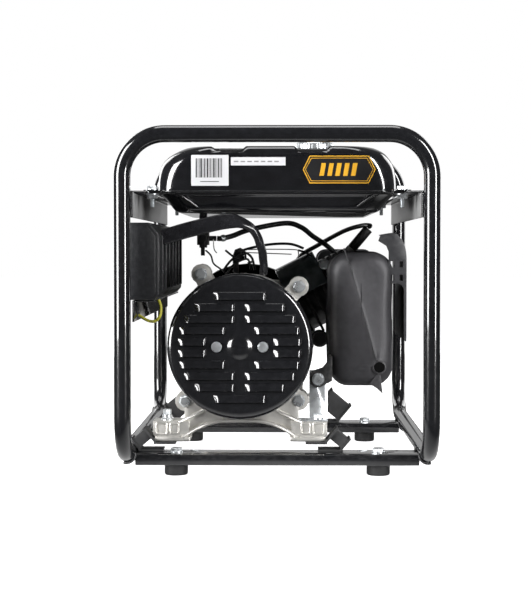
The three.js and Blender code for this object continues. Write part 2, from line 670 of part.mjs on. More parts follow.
// An outline with every corner rounded.
function softOutline(points, radius) {
  const shape = new THREE.Shape();
  const corners = points.map(([a, b]) => new THREE.Vector2(a, b));
  corners.forEach((corner, i) => {
    const before = corners[(i + corners.length - 1) % corners.length];
    const after = corners[(i + 1) % corners.length];
    const start = corner.clone().add(before.clone().sub(corner).setLength(radius));
    const end = corner.clone().add(after.clone().sub(corner).setLength(radius));
    if (i === 0) shape.moveTo(start.x, start.y);
    else shape.lineTo(start.x, start.y);
    shape.quadraticCurveTo(corner.x, corner.y, end.x, end.y);
  });
  shape.closePath();
  return shape;
}

// The swollen body of the muffler, drawn in by an inset.
function pillow(inset) {
  const swell = 20;
  const round = 24;
  const core = softOutline([[91, 277], [91, 185], [101, 132], [139, 132], [139, 277]], 12);
  return prismY(core, MUFFLER_FRONT + round, MUFFLER_REAR - round, {
    curveSegments: 2, bevelEnabled: true, bevelSegments: 3,
    bevelThickness: round - inset, bevelSize: swell - inset,
  });
}

function buildExhaust() {
  const port = { x: 101, z: 245 };
  const pipe = barY(15, port.x, port.z, MUFFLER_REAR - 6, 50 - GAP, 20);
  const pipeBore = barY(12.5, port.x, port.z, MUFFLER_REAR - 8, 51, 20);
  const outlet = barY(7.25, 140, 139, MUFFLER_FRONT - 5, -100, 18);
  part("muffler", EXHAUST_GREY, cut(join(pillow(0), pipe), pillow(2), pipeBore, outlet));

  const sheet = 1.5;
  const bentSheet = (inset) => {
    const shape = new THREE.Shape();
    shape.moveTo(178 - inset, 174);
    shape.lineTo(178 - inset, 296);
    shape.quadraticCurveTo(176 - inset, 318 - inset, 158, 324 - inset);
    shape.lineTo(141, 321 - inset);
    return shape;
  };
  const skin = bentSheet(0);
  for (const point of bentSheet(sheet).getPoints(5).reverse()) skin.lineTo(point.x, point.y);
  const wing = prismY(skin, -140, 60);
  const flange = prismY(outline([
    [150, 266], [177, 254], [177, 296], [172, 312], [158, 322], [143, 320], [150, 300],
  ]), -140, -140 + sheet);
  const slots = [];
  for (const z of [260, 280]) {
    slots.push(block(156.5, 161.5, -142, -136, z - 4.5, z + 4.5));
    slots.push(block(167, 173, -142, -136, z - 4.5, z + 4.5));
  }
  const trimmed = cut(flange, pillow(-1), ...slots);
  part("muffler_guard", EXHAUST_GREY, cut(join(wing, trimmed), pillow(-0.5)));

  const boltHole = barY(4.3, 55, 126, -195, -180, 14);
  const upright = block(43.2, 68, -186.5, -184, AXIS_Z - 101 + GAP, 138);
  const toe = block(30, 68, -203, -184, AXIS_Z - 101 + GAP, AXIS_Z - 101 + GAP + 2.5);
  part("muffler_bracket", ZINC, cut(join(upright, toe), boltHole));
  const plate = prismY(softOutline([[43, 126], [47, 114], [62, 113], [98, 124], [98, 156], [76, 158]], 4),
    -189.5, -187);
  const tab = cut(block(93, 98, -188, -118, 126, 154), pillow(-0.4));
  part("muffler_arm", SATIN_BLACK, cut(join(plate, tab), boltHole));
}

// ---- Control box ----
const PANEL_OUTER = -206;
const PANEL_INNER = BOX_OUTER_X - GAP;
const SOCKET_Z = 288;
const SOCKETS_Y = [-190, -115];
const SOCKET_RADIUS = 21;
const BREAKER_Y = -52;
const METER_Y = 12;
const SWITCH_Y = 88;

function buildControlBox() {
  const boxOutline = (inset) => outline([
    [BOX_OUTER_X - (inset ? 5 : 0), BOX_BOTTOM + inset], [BOX_INNER_X - 6, BOX_BOTTOM + inset],
    [BOX_INNER_X - inset, BOX_BOTTOM + 7], [BOX_INNER_X - inset, BOX_TOP - 15],
    [BOX_INNER_X - 13, BOX_TOP - inset], [BOX_OUTER_X - (inset ? 5 : 0), BOX_TOP - inset],
  ]);
  const outer = prismY(boxOutline(0), BOX_FRONT, BOX_REAR);
  const inner = prismY(boxOutline(BOX_WALL), BOX_FRONT + BOX_WALL, BOX_REAR - BOX_WALL);
  part("control_box", BLACK_PLASTIC, cut(outer, inner));

  const plan = roundedRectangle(BOX_FRONT - 4, BOX_REAR + 4, BOX_BOTTOM + 1, BOX_TOP + 2, 8);
  const bosses = SOCKETS_Y.map((y) => barX(SOCKET_RADIUS + 3, PANEL_OUTER + 1, -186, y, SOCKET_Z, 16));
  const recesses = SOCKETS_Y.map((y) => barX(SOCKET_RADIUS - 1, -210, -189, y, SOCKET_Z, 16));
  const bezel = cut(
    barX(27, -209, PANEL_OUTER + 1, METER_Y, SOCKET_Z, 16), barX(23, -211, -207.5, METER_Y, SOCKET_Z, 16),
  );
  const breakerHole = barX(6.2, -215, -200, BREAKER_Y, SOCKET_Z, 16);
  const switchHole = block(-215, -200, SWITCH_Y - 11, SWITCH_Y + 11, SOCKET_Z - 15, SOCKET_Z + 15);
  const panel = join(prismX(plan, PANEL_OUTER, PANEL_INNER), ...bosses, bezel);
  part("control_panel", GREY_PLASTIC, cut(panel, ...recesses, breakerHole, switchHole));

  SOCKETS_Y.forEach((y, i) => {
    const disc = barX(SOCKET_RADIUS + 2, -209.3, PANEL_OUTER - GAP, y, SOCKET_Z, 16);
    const knuckle = barY(1.4, -207.8, SOCKET_Z + SOCKET_RADIUS + 4, y - 9, y + 9, 10);
    const lidTop = SOCKET_Z + SOCKET_RADIUS;
    const bridge = block(-208.8, -206.8, y - 9, y + 9, lidTop - 4, lidTop + 4);
    part(`socket_lid_${i + 1}`, BLACK_PLASTIC, join(disc, knuckle, bridge));
  });
  part("breaker_button", RED_PLASTIC, barX(5, -209.6, -200, BREAKER_Y, SOCKET_Z, 16));
  const rocker = outline([
    [-201, SOCKET_Z - 11], [-201, SOCKET_Z + 11], [-207, SOCKET_Z + 12], [-205, SOCKET_Z],
    [-209.2, SOCKET_Z - 12],
  ]);
  part("engine_switch", RED_PLASTIC, prismY(rocker, SWITCH_Y - 10, SWITCH_Y + 10));
}

// ---- Cables and hose, each held at both ends ----
function buildCables() {
  const cable = (name, look, radius, sides, corners, steps) => {
    part(name, look, tube(softRoute(corners, steps), ellipse(radius, radius, sides)));
  };
  cable("output_sleeve", BLACK_PLASTIC, 5.5, 8, [
    [BOX_INNER_X + 0.6, -214, 318], [-146, -214, 319], [-126, -213, 325], [-103, -212, 331],
    [-72, -211, 338], [-52, -208, 338],
    [-33, -203, 328], [-23, -197, 308], [-19, -188, 288], [-18.5, -178, 264 + 4.5],
  ], 18);
  cable("fuel_hose", RUBBER, 4, 8, [
    [-93, 60, 318], [-86, 60.5, 318], [-70, 70, 322], [-43, 90, 332], [10, 115, 342],
    [35, 132, 336], [54, 148, 322],
    [75, 156, 308], [91, 161, 292], [95.5, 162, 271],
  ], 20);
  cable("spark_lead", RUBBER, 3.5, 8, [
    [138.5, 75, 336], [139.5, 88, 338], [128, 115, 338], [102, 146, 330], [62, 178, 308], [34, 196, 290],
    [22, 200, 262],
  ], 16);
  cable("earth_wire", EARTH_GREEN, 2, 8, [
    [-156, -238, BOX_BOTTOM - GAP], [-153, -240, 226], [-154, -241, 214], [-160, -240, 207],
    [-170, -235, 207],
    [-183.5, -228, 214],
  ], 12);
}

buildCradle();
buildTank();
buildFuelTap();
addEndCover();
addEndBell();
addRotatingGroup();
addAdaptor();
addCrankcase();
addCylinder();
addCylinderShroud();
addSparkPlug();
addIntake();
addRecoilEnd();
buildExhaust();
buildControlBox();
buildCables();

export default root;
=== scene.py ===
"""An open-frame portable generator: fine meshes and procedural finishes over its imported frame."""

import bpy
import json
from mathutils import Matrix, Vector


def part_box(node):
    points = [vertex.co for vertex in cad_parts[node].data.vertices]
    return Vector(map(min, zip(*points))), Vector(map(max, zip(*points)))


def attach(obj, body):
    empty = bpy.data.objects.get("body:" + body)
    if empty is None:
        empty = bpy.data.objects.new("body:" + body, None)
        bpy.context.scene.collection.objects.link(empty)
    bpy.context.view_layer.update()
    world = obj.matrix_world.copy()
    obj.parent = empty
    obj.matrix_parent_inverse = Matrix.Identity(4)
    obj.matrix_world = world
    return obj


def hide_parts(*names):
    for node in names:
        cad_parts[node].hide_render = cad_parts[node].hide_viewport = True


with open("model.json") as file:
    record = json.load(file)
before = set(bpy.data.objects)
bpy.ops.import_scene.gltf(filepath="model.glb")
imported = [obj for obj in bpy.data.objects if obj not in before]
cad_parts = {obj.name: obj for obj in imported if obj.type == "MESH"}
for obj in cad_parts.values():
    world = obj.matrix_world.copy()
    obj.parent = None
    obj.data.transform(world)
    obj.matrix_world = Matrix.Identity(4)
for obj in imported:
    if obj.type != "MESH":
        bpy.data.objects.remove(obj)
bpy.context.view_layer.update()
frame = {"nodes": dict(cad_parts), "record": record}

import json
import math

import bmesh
import bpy
from bpy.props import FloatProperty, FloatVectorProperty, IntProperty, PointerProperty
from mathutils import Matrix, Vector

bl_info = {
    "name": "Portable Generator",
    "version": (1, 0, 0),
    "blender": (4, 5, 0),
    "location": "View3D > Sidebar > Generator",
    "description": "Builds the visible pieces of an open-frame portable generator",
    "category": "Object",
}

MM = 0.001
MERGE_GAP, FINE_MERGE_GAP = 1e-5, 1e-7
NODES = frame["nodes"]
BODY_OF = {node: body for body, members in frame["record"]["behaviour"]["bodies"].items()
           for node in members}
SLOT_OF = {row["node"]: row["material_slot"] for row in frame["record"]["subparts"]}

COVER_LOW, COVER_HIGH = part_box("alternator_end_cover")
COVER_CENTRE = Vector(((COVER_LOW.x + COVER_HIGH.x) / 2, 0, (COVER_LOW.z + COVER_HIGH.z) / 2))
LOUVRE_PITCH = 15.25 * MM
LOUVRE_ROWS = ((45, 82), (19.5, 80), (7, 74), (7, 60), (0, 35))


# ---- Sizes and colours a user would change ----
class GeneratorSizes(bpy.types.PropertyGroup):
    """Sizes of the pieces that the frame leaves open."""

    tube_radius: FloatProperty(
        name="Tube radius", description="Outer radius of the cradle's tube",
        default=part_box("left_rail")[1].z / 2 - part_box("left_rail")[0].z / 2, unit="LENGTH")
    tube_bend: FloatProperty(
        name="Tube bend", description="Centre-line radius of the cradle's bends", default=0.055,
        unit="LENGTH")
    louvre_height: FloatProperty(
        name="Louvre height", description="Height of one louvre hood", default=0.0106, unit="LENGTH")
    louvre_rise: FloatProperty(
        name="Louvre rise", description="How far a louvre hood stands out", default=0.0046, unit="LENGTH")
    bolt_flats: FloatProperty(
        name="Bolt flats", description="Across the flats of the frame bolts", default=0.013, unit="LENGTH")
    sleeve_width: FloatProperty(
        name="Sleeve width", description="Width of the flat output sleeve", default=0.021, unit="LENGTH")
    rib_count: IntProperty(
        name="Box ribs", description="Ribs on the control box's inner side", default=7, min=1)


def _colour(name, description, value):
    return FloatVectorProperty(name=name, description=description, default=value, size=3, subtype="COLOR")


class GeneratorColours(bpy.types.PropertyGroup):
    """Base colours of the finishes."""

    gloss_black: _colour("Gloss black", "Powder-coated tube and pressed sheet", (0.0075, 0.0078, 0.0092))
    satin_black: _colour("Satin black", "Painted channels and arms", (0.012, 0.012, 0.013))
    plastic: _colour("Black plastic", "Moulded boxes", (0.014, 0.0145, 0.016))
    rubber: _colour("Rubber", "Feet, mounts and hoses", (0.017, 0.017, 0.018))
    casting: _colour("Casting", "Die-cast aluminium", (0.66, 0.645, 0.61))
    zinc: _colour("Zinc", "Plated bolts and brackets", (0.80, 0.83, 0.85))
    exhaust: _colour("Exhaust grey", "Heat-resistant paint", (0.043, 0.042, 0.046))
    amber: _colour("Amber", "Outline of the badge", (0.80, 0.42, 0.03))
    paper: _colour("Label white", "Printed stickers", (0.80, 0.80, 0.82))
    red: _colour("Signal red", "Switch and small marks", (0.55, 0.03, 0.02))
    floor: _colour("Floor", "Pale ground", (0.90, 0.90, 0.90))


# ---- Shader node groups ----
def new_group(name, inputs, outputs):
    """An empty shader group with named float or vector sockets."""
    group = bpy.data.node_groups.new(name, "ShaderNodeTree")
    for label, kind, value in inputs:
        socket = group.interface.new_socket(label, in_out="INPUT", socket_type=kind)
        if value is not None:
            socket.default_value = value
    for label, kind in outputs:
        group.interface.new_socket(label, in_out="OUTPUT", socket_type=kind)
    return group, group.nodes.new("NodeGroupInput"), group.nodes.new("NodeGroupOutput")


def add(tree, kind, links=None, **settings):
    """A node with its settings, and a dictionary of input name or index to value or socket."""
    node = tree.nodes.new(kind)
    for key, value in settings.items():
        setattr(node, key, value)
    for key, value in (links or {}).items():
        if isinstance(value, bpy.types.NodeSocket):
            tree.links.new(value, node.inputs[key])
        else:
            node.inputs[key].default_value = value
    return node


def math_node(tree, operation, a, b=0.0, clamp=False):
    return add(tree, "ShaderNodeMath", {0: a, 1: b}, operation=operation, use_clamp=clamp).outputs[0]


def ramp(tree, factor, low, high):
    """Maps low..high to 0..1, held at both ends."""
    node = add(tree, "ShaderNodeMapRange", {"Value": factor, "From Min": low, "From Max": high})
    node.clamp = True
    return node.outputs["Result"]


def edge_wear_group():
    """Finds worn edges from the surface's own sharpness, broken up by noise."""
    group, inner, outer = new_group(
        "Edge Wear",
        [("Amount", "NodeSocketFloat", 0.5), ("Scale", "NodeSocketFloat", 180.0)],
        [("Mask", "NodeSocketFloat")])
    place = add(group, "ShaderNodeTexCoord")
    form = add(group, "ShaderNodeNewGeometry")
    sharp = ramp(group, form.outputs["Pointiness"], 0.52, 0.62)
    noise = add(group, "ShaderNodeTexNoise", {"Vector": place.outputs["Object"],
                                              "Scale": inner.outputs["Scale"], "Detail": 5.0})
    broken = ramp(group, noise.outputs["Fac"], 0.42, 0.66)
    mask = math_node(group, "MULTIPLY", math_node(group, "MULTIPLY", sharp, broken),
                     inner.outputs["Amount"], True)
    group.links.new(mask, outer.inputs["Mask"])
    return group


def grain_group():
    """Fine and coarse noise for height, and a soft blotch for colour and roughness."""
    group, inner, outer = new_group(
        "Grain",
        [("Fine", "NodeSocketFloat", 900.0), ("Coarse", "NodeSocketFloat", 60.0),
         ("Mix", "NodeSocketFloat", 0.5)],
        [("Height", "NodeSocketFloat"), ("Blotch", "NodeSocketFloat")])
    place = add(group, "ShaderNodeTexCoord").outputs["Object"]
    fine = add(group, "ShaderNodeTexNoise", {"Vector": place, "Scale": inner.outputs["Fine"],
                                             "Detail": 3.0})
    coarse = add(group, "ShaderNodeTexNoise", {"Vector": place, "Scale": inner.outputs["Coarse"],
                                               "Detail": 4.0})
    height = add(group, "ShaderNodeMix", {"Factor": inner.outputs["Mix"], 2: fine.outputs["Fac"],
                                          3: coarse.outputs["Fac"]}, data_type="FLOAT")
    group.links.new(height.outputs[0], outer.inputs["Height"])
    group.links.new(coarse.outputs["Fac"], outer.inputs["Blotch"])
    return group


def dust_group():
    """A thin film of dust on faces that look up, and a little everywhere else."""
    group, inner, outer = new_group(
        "Dust", [("Amount", "NodeSocketFloat", 0.3), ("Scale", "NodeSocketFloat", 35.0)],
        [("Mask", "NodeSocketFloat")])
    place = add(group, "ShaderNodeTexCoord").outputs["Object"]
    normal = add(group, "ShaderNodeNewGeometry").outputs["Normal"]
    up = ramp(group, add(group, "ShaderNodeSeparateXYZ", {0: normal}).outputs["Z"], 0.2, 1.0)
    noise = add(group, "ShaderNodeTexNoise", {"Vector": place, "Scale": inner.outputs["Scale"],
                                              "Detail": 8.0, "Roughness": 0.65})
    cloud = ramp(group, noise.outputs["Fac"], 0.35, 0.75)
    layered = math_node(group, "ADD", math_node(group, "MULTIPLY", up, 0.7), 0.12)
    mask = math_node(group, "MULTIPLY", math_node(group, "MULTIPLY", cloud, layered),
                     inner.outputs["Amount"], True)
    group.links.new(mask, outer.inputs["Mask"])
    return group


GROUPS = {}
DUST_SHARE, DUST_COLOUR = 0.35, (0.33, 0.32, 0.30)


def placed_group(tree, name, **values):
    """A shared group in a material, made the first time it is asked for."""
    makers = {"Edge Wear": edge_wear_group, "Grain": grain_group, "Dust": dust_group}
    if name not in GROUPS:
        GROUPS[name] = makers[name]()
    node = tree.nodes.new("ShaderNodeGroup")
    node.node_tree = GROUPS[name]
    for key, value in values.items():
        node.inputs[key].default_value = value
    return node


def mix_colour(tree, factor, first, second):
    node = add(tree, "ShaderNodeMix", data_type="RGBA")
    tree.links.new(factor, node.inputs[0])
    for index, value in ((6, first), (7, second)):
        if isinstance(value, bpy.types.NodeSocket):
            tree.links.new(value, node.inputs[index])
        else:
            node.inputs[index].default_value = (*value, 1.0)
    return node.outputs[2]


def finish_material(name, base, rough, *, metal=0.0, coat=0.0, coat_rough=0.05, worn=None, worn_amount=0.0,
                    dust=0.15, blotch=0.25, bump=0.0, bump_depth=0.0003, fine=900.0,
                    coarse=60.0, mix=0.4, rough_range=0.08, specular=0.5):
    """One finish: base colour with blotches, worn edges and dust, varied roughness, and grain in relief."""
    material = bpy.data.materials.new(name)
    material.use_nodes = True
    tree = material.node_tree
    shader = tree.nodes["Principled BSDF"]
    grain = placed_group(tree, "Grain", Fine=fine, Coarse=coarse, Mix=mix)
    darker = tuple(channel * (1 - blotch) for channel in base)
    lighter = tuple(min(1.0, channel * (1 + blotch)) for channel in base)
    colour = mix_colour(tree, ramp(tree, grain.outputs["Blotch"], 0.3, 0.7), darker, lighter)
    if worn_amount:
        wear = placed_group(tree, "Edge Wear", Amount=worn_amount)
        colour = mix_colour(tree, wear.outputs["Mask"], colour, worn or lighter)
    film = placed_group(tree, "Dust", Amount=dust * DUST_SHARE)
    colour = mix_colour(tree, film.outputs["Mask"], colour, DUST_COLOUR)
    tree.links.new(colour, shader.inputs["Base Color"])
    shader.inputs["Metallic"].default_value = metal
    spread = math_node(tree, "MULTIPLY", grain.outputs["Blotch"], 2 * rough_range)
    dusty = math_node(tree, "MULTIPLY", film.outputs["Mask"], 0.5)
    total = math_node(tree, "ADD", math_node(tree, "ADD", spread, rough - rough_range), dusty, True)
    tree.links.new(total, shader.inputs["Roughness"])
    shader.inputs["Coat Weight"].default_value = coat
    shader.inputs["Coat Roughness"].default_value = coat_rough
    shader.inputs["Specular IOR Level"].default_value = specular
    if bump:
        relief = add(tree, "ShaderNodeBump", {"Strength": bump, "Distance": bump_depth,
                                              "Height": grain.outputs["Height"]})
        tree.links.new(relief.outputs["Normal"], shader.inputs["Normal"])
    return material


# ---- Mesh helpers ----
def sizes():
    return bpy.context.scene.generator_sizes


def colours():
    return bpy.context.scene.generator_colours


def at(x, y, z):
    """A point given in millimetres."""
    return Vector((x, y, z)) * MM


def keep_piece(mesh, name, materials, node, replaces=(), smooth=35):
    """Links a finished mesh and hands it to the frame, with the body of a node it belongs to."""
    mesh.name = name
    mesh.materials.clear()
    for material in materials if isinstance(materials, (list, tuple)) else [materials]:
        mesh.materials.append(FINISHES[material])
    mesh.shade_smooth()
    mesh.set_sharp_from_angle(angle=math.radians(smooth))
    piece = bpy.data.objects.new(name, mesh)
    bpy.context.scene.collection.objects.link(piece)
    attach(piece, BODY_OF[node])
    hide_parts(*replaces)
    return piece


def keep_shell(shell, name, materials, node, replaces=(), smooth=35, merge=MERGE_GAP):
    """Merges and turns a closed bmesh outwards, then keeps it as a piece."""
    bmesh.ops.remove_doubles(shell, verts=shell.verts, dist=merge)
    bmesh.ops.recalc_face_normals(shell, faces=shell.faces)
    mesh = bpy.data.meshes.new(name)
    shell.to_mesh(mesh)
    shell.free()
    return keep_piece(mesh, name, materials, node, replaces, smooth)


def baked(scratch):
    """The evaluated mesh of a scratch object, which is then removed."""
    bpy.context.view_layer.update()
    result = bpy.data.meshes.new_from_object(scratch.evaluated_get(bpy.context.evaluated_depsgraph_get()))
    bpy.data.objects.remove(scratch)
    return result


def scratch_object(name, mesh):
    scratch = bpy.data.objects.new(name, mesh)
    bpy.context.scene.collection.objects.link(scratch)
    return scratch


def rounded_copy(node, width, segments=2, angle=30):
    """A CAD node's shape with its edges rounded: merged, made planar, and bevelled."""
    shape = bmesh.new()
    shape.from_mesh(NODES[node].data)
    for layer in list(shape.loops.layers.uv):
        shape.loops.layers.uv.remove(layer)
    bmesh.ops.remove_doubles(shape, verts=shape.verts, dist=0.00002)
    bmesh.ops.dissolve_limit(shape, angle_limit=math.radians(1), verts=shape.verts, edges=shape.edges)
    mesh = bpy.data.meshes.new(node + "_rounded")
    shape.to_mesh(mesh)
    shape.free()
    if mesh.has_custom_normals:
        mesh.normals_split_custom_set([(0, 0, 0)] * len(mesh.loops))
    scratch = scratch_object(node + "_scratch", mesh)
    bevel = scratch.modifiers.new("Round", "BEVEL")
    bevel.width, bevel.segments = width, segments
    bevel.limit_method, bevel.angle_limit = "ANGLE", math.radians(angle)
    bevel.use_clamp_overlap = True
    return baked(scratch)


def refined(node, material, width, segments=2, angle=30, smooth=40, materials_by=None):
    """Shows a CAD node with rounded edges. materials_by picks a face's material from its centre."""
    mesh = rounded_copy(node, width, segments, angle)
    piece = keep_piece(mesh, node + "_shape", material, node, [node], smooth)
    if materials_by:
        for face in mesh.polygons:
            face.material_index = materials_by(face.center)
    return piece


def painted(node, material):
    """Gives a CAD node that stays showing its finish."""
    NODES[node].data.materials.clear()
    NODES[node].data.materials.append(FINISHES[material])


def ring_bridge(shell, rings, closed=False):
    """Joins rings of vertices of equal length by quads, and closes the ends with a fan of one face."""
    pairs = list(zip(rings, rings[1:])) + ([(rings[-1], rings[0])] if closed else [])
    for first, second in pairs:
        count = len(first)
        for i in range(count):
            corners = [first[i], first[(i + 1) % count], second[(i + 1) % count], second[i]]
            unique = list(dict.fromkeys(corners))
            if len(unique) > 2:
                shell.faces.new(unique)
    if not closed:
        shell.faces.new(rings[0][::-1])
        shell.faces.new(rings[-1])


def lathe(profile, centre, axis="Y", steps=96, wave=None):
    """A closed turned shape. The profile is (radius, distance along the axis) in millimetres, and the
    centre in metres. wave(turn, radius, along) adds to the radius."""
    shell = bmesh.new()
    rings = []
    for radius, along in profile:
        ring = []
        for i in range(steps):
            turn = 2 * math.pi * i / steps
            r = (radius + (wave(turn, radius, along) if wave else 0)) * MM
            a, b, c = r * math.cos(turn), r * math.sin(turn), along * MM
            place = {"Y": (a, c, b), "Z": (a, b, c), "X": (c, a, b)}[axis]
            ring.append(shell.verts.new(Vector(place) + centre))
        rings.append(ring)
    ring_bridge(shell, rings)
    return shell


def smooth_line(points, per_span=8, closed=False):
    """Catmull-Rom points through the given points."""
    count = len(points)
    line = []
    spans = count if closed else count - 1
    for i in range(spans):
        p = [Vector(points[(i + k) % count if closed else min(max(i + k, 0), count - 1)])
             for k in (-1, 0, 1, 2)]
        for j in range(per_span):
            t = j / per_span
            line.append(0.5 * ((2 * p[1]) + (p[2] - p[0]) * t
                               + (2 * p[0] - 5 * p[1] + 4 * p[2] - p[3]) * t ** 2
                               + (3 * p[1] - p[0] - 3 * p[2] + p[3]) * t ** 3))
    if not closed:
        line.append(Vector(points[-1]))
    return line


def sweep(line, section, first_side=None):
    """Sweeps a section along a line. section(share) gives (u, v) points at a share of its length."""
    shell = bmesh.new()
    rings = []
    tangent = (line[1] - line[0]).normalized()
    side = Vector(first_side) if first_side else tangent.orthogonal()
    side = (side - tangent * side.dot(tangent)).normalized()
    for i, point in enumerate(line):
        ahead = line[min(i + 1, len(line) - 1)] - line[max(i - 1, 0)]
        new_tangent = ahead.normalized()
        side = (tangent.rotation_difference(new_tangent) @ side)
        side = (side - new_tangent * side.dot(new_tangent)).normalized()
        tangent = new_tangent
        other = tangent.cross(side)
        ring = [shell.verts.new(point + side * u + other * v) for u, v in section(i / (len(line) - 1))]
        rings.append(ring)
    ring_bridge(shell, rings)
    return shell


def circle_section(radius, count=12):
    """A round section of one radius in metres."""
    spots = [(radius * math.cos(2 * math.pi * i / count), radius * math.sin(2 * math.pi * i / count))
             for i in range(count)]
    return lambda share: spots


def wire(points, radius, count=12, per_span=8):
    """A round wire through points in millimetres, with a radius in millimetres."""
    return sweep(smooth_line([Vector(p) * MM for p in points], per_span),
                 circle_section(radius * MM, count))


def joined(*shells):
    """One bmesh from several."""
    whole = bmesh.new()
    for shell in shells:
        scratch = bpy.data.meshes.new("join")
        shell.to_mesh(scratch)
        shell.free()
        whole.from_mesh(scratch)
        bpy.data.meshes.remove(scratch)
    return whole


def slab(low, high, bevel=0.0008, segments=2):
    """A rounded box between two corners in millimetres."""
    shell = bmesh.new()
    bmesh.ops.create_cube(shell, size=1)
    low, high = Vector(low) * MM, Vector(high) * MM
    for vert in shell.verts:
        vert.co = Vector([low[i] + (vert.co[i] + 0.5) * (high[i] - low[i]) for i in range(3)])
    if bevel:
        bmesh.ops.bevel(shell, geom=shell.edges[:], offset=bevel, segments=segments, profile=0.5,
                        affect="EDGES", clamp_overlap=True)
    return shell


def plate(outline, depth, bevel=0.0006, segments=2):
    """A flat shape from a loop of points in metres, thickened by the vector depth, with rounded rims."""
    shell = bmesh.new()
    face = shell.faces.new([shell.verts.new(p) for p in outline])
    moved = bmesh.ops.extrude_face_region(shell, geom=[face])
    raised = [v for v in moved["geom"] if isinstance(v, bmesh.types.BMVert)]
    bmesh.ops.translate(shell, vec=depth, verts=raised)
    bmesh.ops.recalc_face_normals(shell, faces=shell.faces)
    if bevel:
        rims = [e for e in shell.edges if e.calc_face_angle(0) > math.radians(30)]
        bmesh.ops.bevel(shell, geom=rims, offset=bevel, segments=segments, profile=0.5, affect="EDGES",
                        clamp_overlap=True)
    return shell


def rounded_loop(low, high, radius, steps=8, straight=0):
    """Points (a, b) of a rounded rectangle, anticlockwise, with extra points along its straight sides."""
    loop = []
    for cx, cy, start in ((high[0] - radius, high[1] - radius, 0), (low[0] + radius, high[1] - radius, 90),
                          (low[0] + radius, low[1] + radius, 180),
                          (high[0] - radius, low[1] + radius, 270)):
        for i in range(steps + 1):
            turn = math.radians(start + 90 * i / steps)
            loop.append((cx + radius * math.cos(turn), cy + radius * math.sin(turn)))
    if not straight:
        return loop
    dense = []
    for i, (ax, ay) in enumerate(loop):
        bx, by = loop[(i + 1) % len(loop)]
        pieces = straight if i % (steps + 1) == steps else 1
        dense += [(ax + (bx - ax) * k / pieces, ay + (by - ay) * k / pieces) for k in range(pieces)]
    return dense


# ---- Geometry Nodes ----
def geometry_tree(name, inputs):
    """A Geometry Nodes tree with a geometry input and output and the given named inputs."""
    tree = bpy.data.node_groups.new(name, "GeometryNodeTree")
    tree.interface.new_socket("Geometry", in_out="INPUT", socket_type="NodeSocketGeometry")
    for label, kind in inputs:
        tree.interface.new_socket(label, in_out="INPUT", socket_type=kind)
    tree.interface.new_socket("Geometry", in_out="OUTPUT", socket_type="NodeSocketGeometry")
    return tree, tree.nodes.new("NodeGroupInput"), tree.nodes.new("NodeGroupOutput")


def finish_tree(tree, inner, outer, geometry):
    """Realize Instances, smooth, and Set Material, as the last nodes of a tree."""
    real = add(tree, "GeometryNodeRealizeInstances", {0: geometry})
    smooth = add(tree, "GeometryNodeSetShadeSmooth", {0: real.outputs[0]})
    finish = add(tree, "GeometryNodeSetMaterial", {"Geometry": smooth.outputs[0]})
    tree.links.new(inner.outputs["Material"], finish.inputs["Material"])
    tree.links.new(finish.outputs[0], outer.inputs[0])


def copies_tree():
    """Puts a copy of the source at every point, turned and sized by the point's own attributes."""
    tree, inner, outer = geometry_tree("Placed Copies", [("Source", "NodeSocketObject"),
                                                         ("Material", "NodeSocketMaterial")])
    source = add(tree, "GeometryNodeObjectInfo", {"Object": inner.outputs["Source"]})
    spots = add(tree, "GeometryNodeMeshToPoints", {"Mesh": inner.outputs["Geometry"]})
    turn = add(tree, "GeometryNodeInputNamedAttribute", {"Name": "turn"}, data_type="FLOAT_VECTOR")
    size = add(tree, "GeometryNodeInputNamedAttribute", {"Name": "size"}, data_type="FLOAT_VECTOR")
    rotation = add(tree, "FunctionNodeEulerToRotation", {0: turn.outputs["Attribute"]})
    copies = add(tree, "GeometryNodeInstanceOnPoints", {
        "Points": spots.outputs[0], "Instance": source.outputs["Geometry"],
        "Rotation": rotation.outputs[0], "Scale": size.outputs["Attribute"]})
    finish_tree(tree, inner, outer, copies.outputs[0])
    return tree


def tube_tree():
    """A round tube along the input's edges, with its corners bent to a radius."""
    tree, inner, outer = geometry_tree("Bent Tube", [
        ("Radius", "NodeSocketFloat"), ("Bend", "NodeSocketFloat"), ("Material", "NodeSocketMaterial")])
    line = add(tree, "GeometryNodeMeshToCurve", {0: inner.outputs["Geometry"]})
    bent = add(tree, "GeometryNodeFilletCurve", {"Curve": line.outputs[0], "Count": 24,
                                                 "Radius": inner.outputs["Bend"]}, mode="POLY")
    round_ = add(tree, "GeometryNodeCurvePrimitiveCircle",
                 {"Resolution": 40, "Radius": inner.outputs["Radius"]})
    tube = add(tree, "GeometryNodeCurveToMesh", {"Curve": bent.outputs[0],
                                                 "Profile Curve": round_.outputs[0]})
    finish_tree(tree, inner, outer, tube.outputs[0])
    return tree


def run_tree(tree, mesh, values):
    """Runs a tree on a mesh, its inputs set by identifier, and returns the plain mesh."""
    scratch = scratch_object("tree_scratch", mesh)
    modifier = scratch.modifiers.new("Build", "NODES")
    modifier.node_group = tree
    identifiers = {item.name: item.identifier for item in tree.interface.items_tree
                   if item.item_type == "SOCKET" and item.in_out == "INPUT"}
    for label, value in values.items():
        modifier[identifiers[label]] = value
    return baked(scratch)


TREES = {}


def shared_tree(maker):
    if maker not in TREES:
        TREES[maker] = maker()
    return TREES[maker]


def facing(direction, spin=0.0):
    """The turn that points local +Z along a direction, after a spin about it."""
    turn = Vector(direction).to_track_quat("Z", "Y") @ Matrix.Rotation(spin, 3, "Z").to_quaternion()
    return turn.to_euler("XYZ")


UNTURNED = ((0, 0, 0), (1, 1, 1))


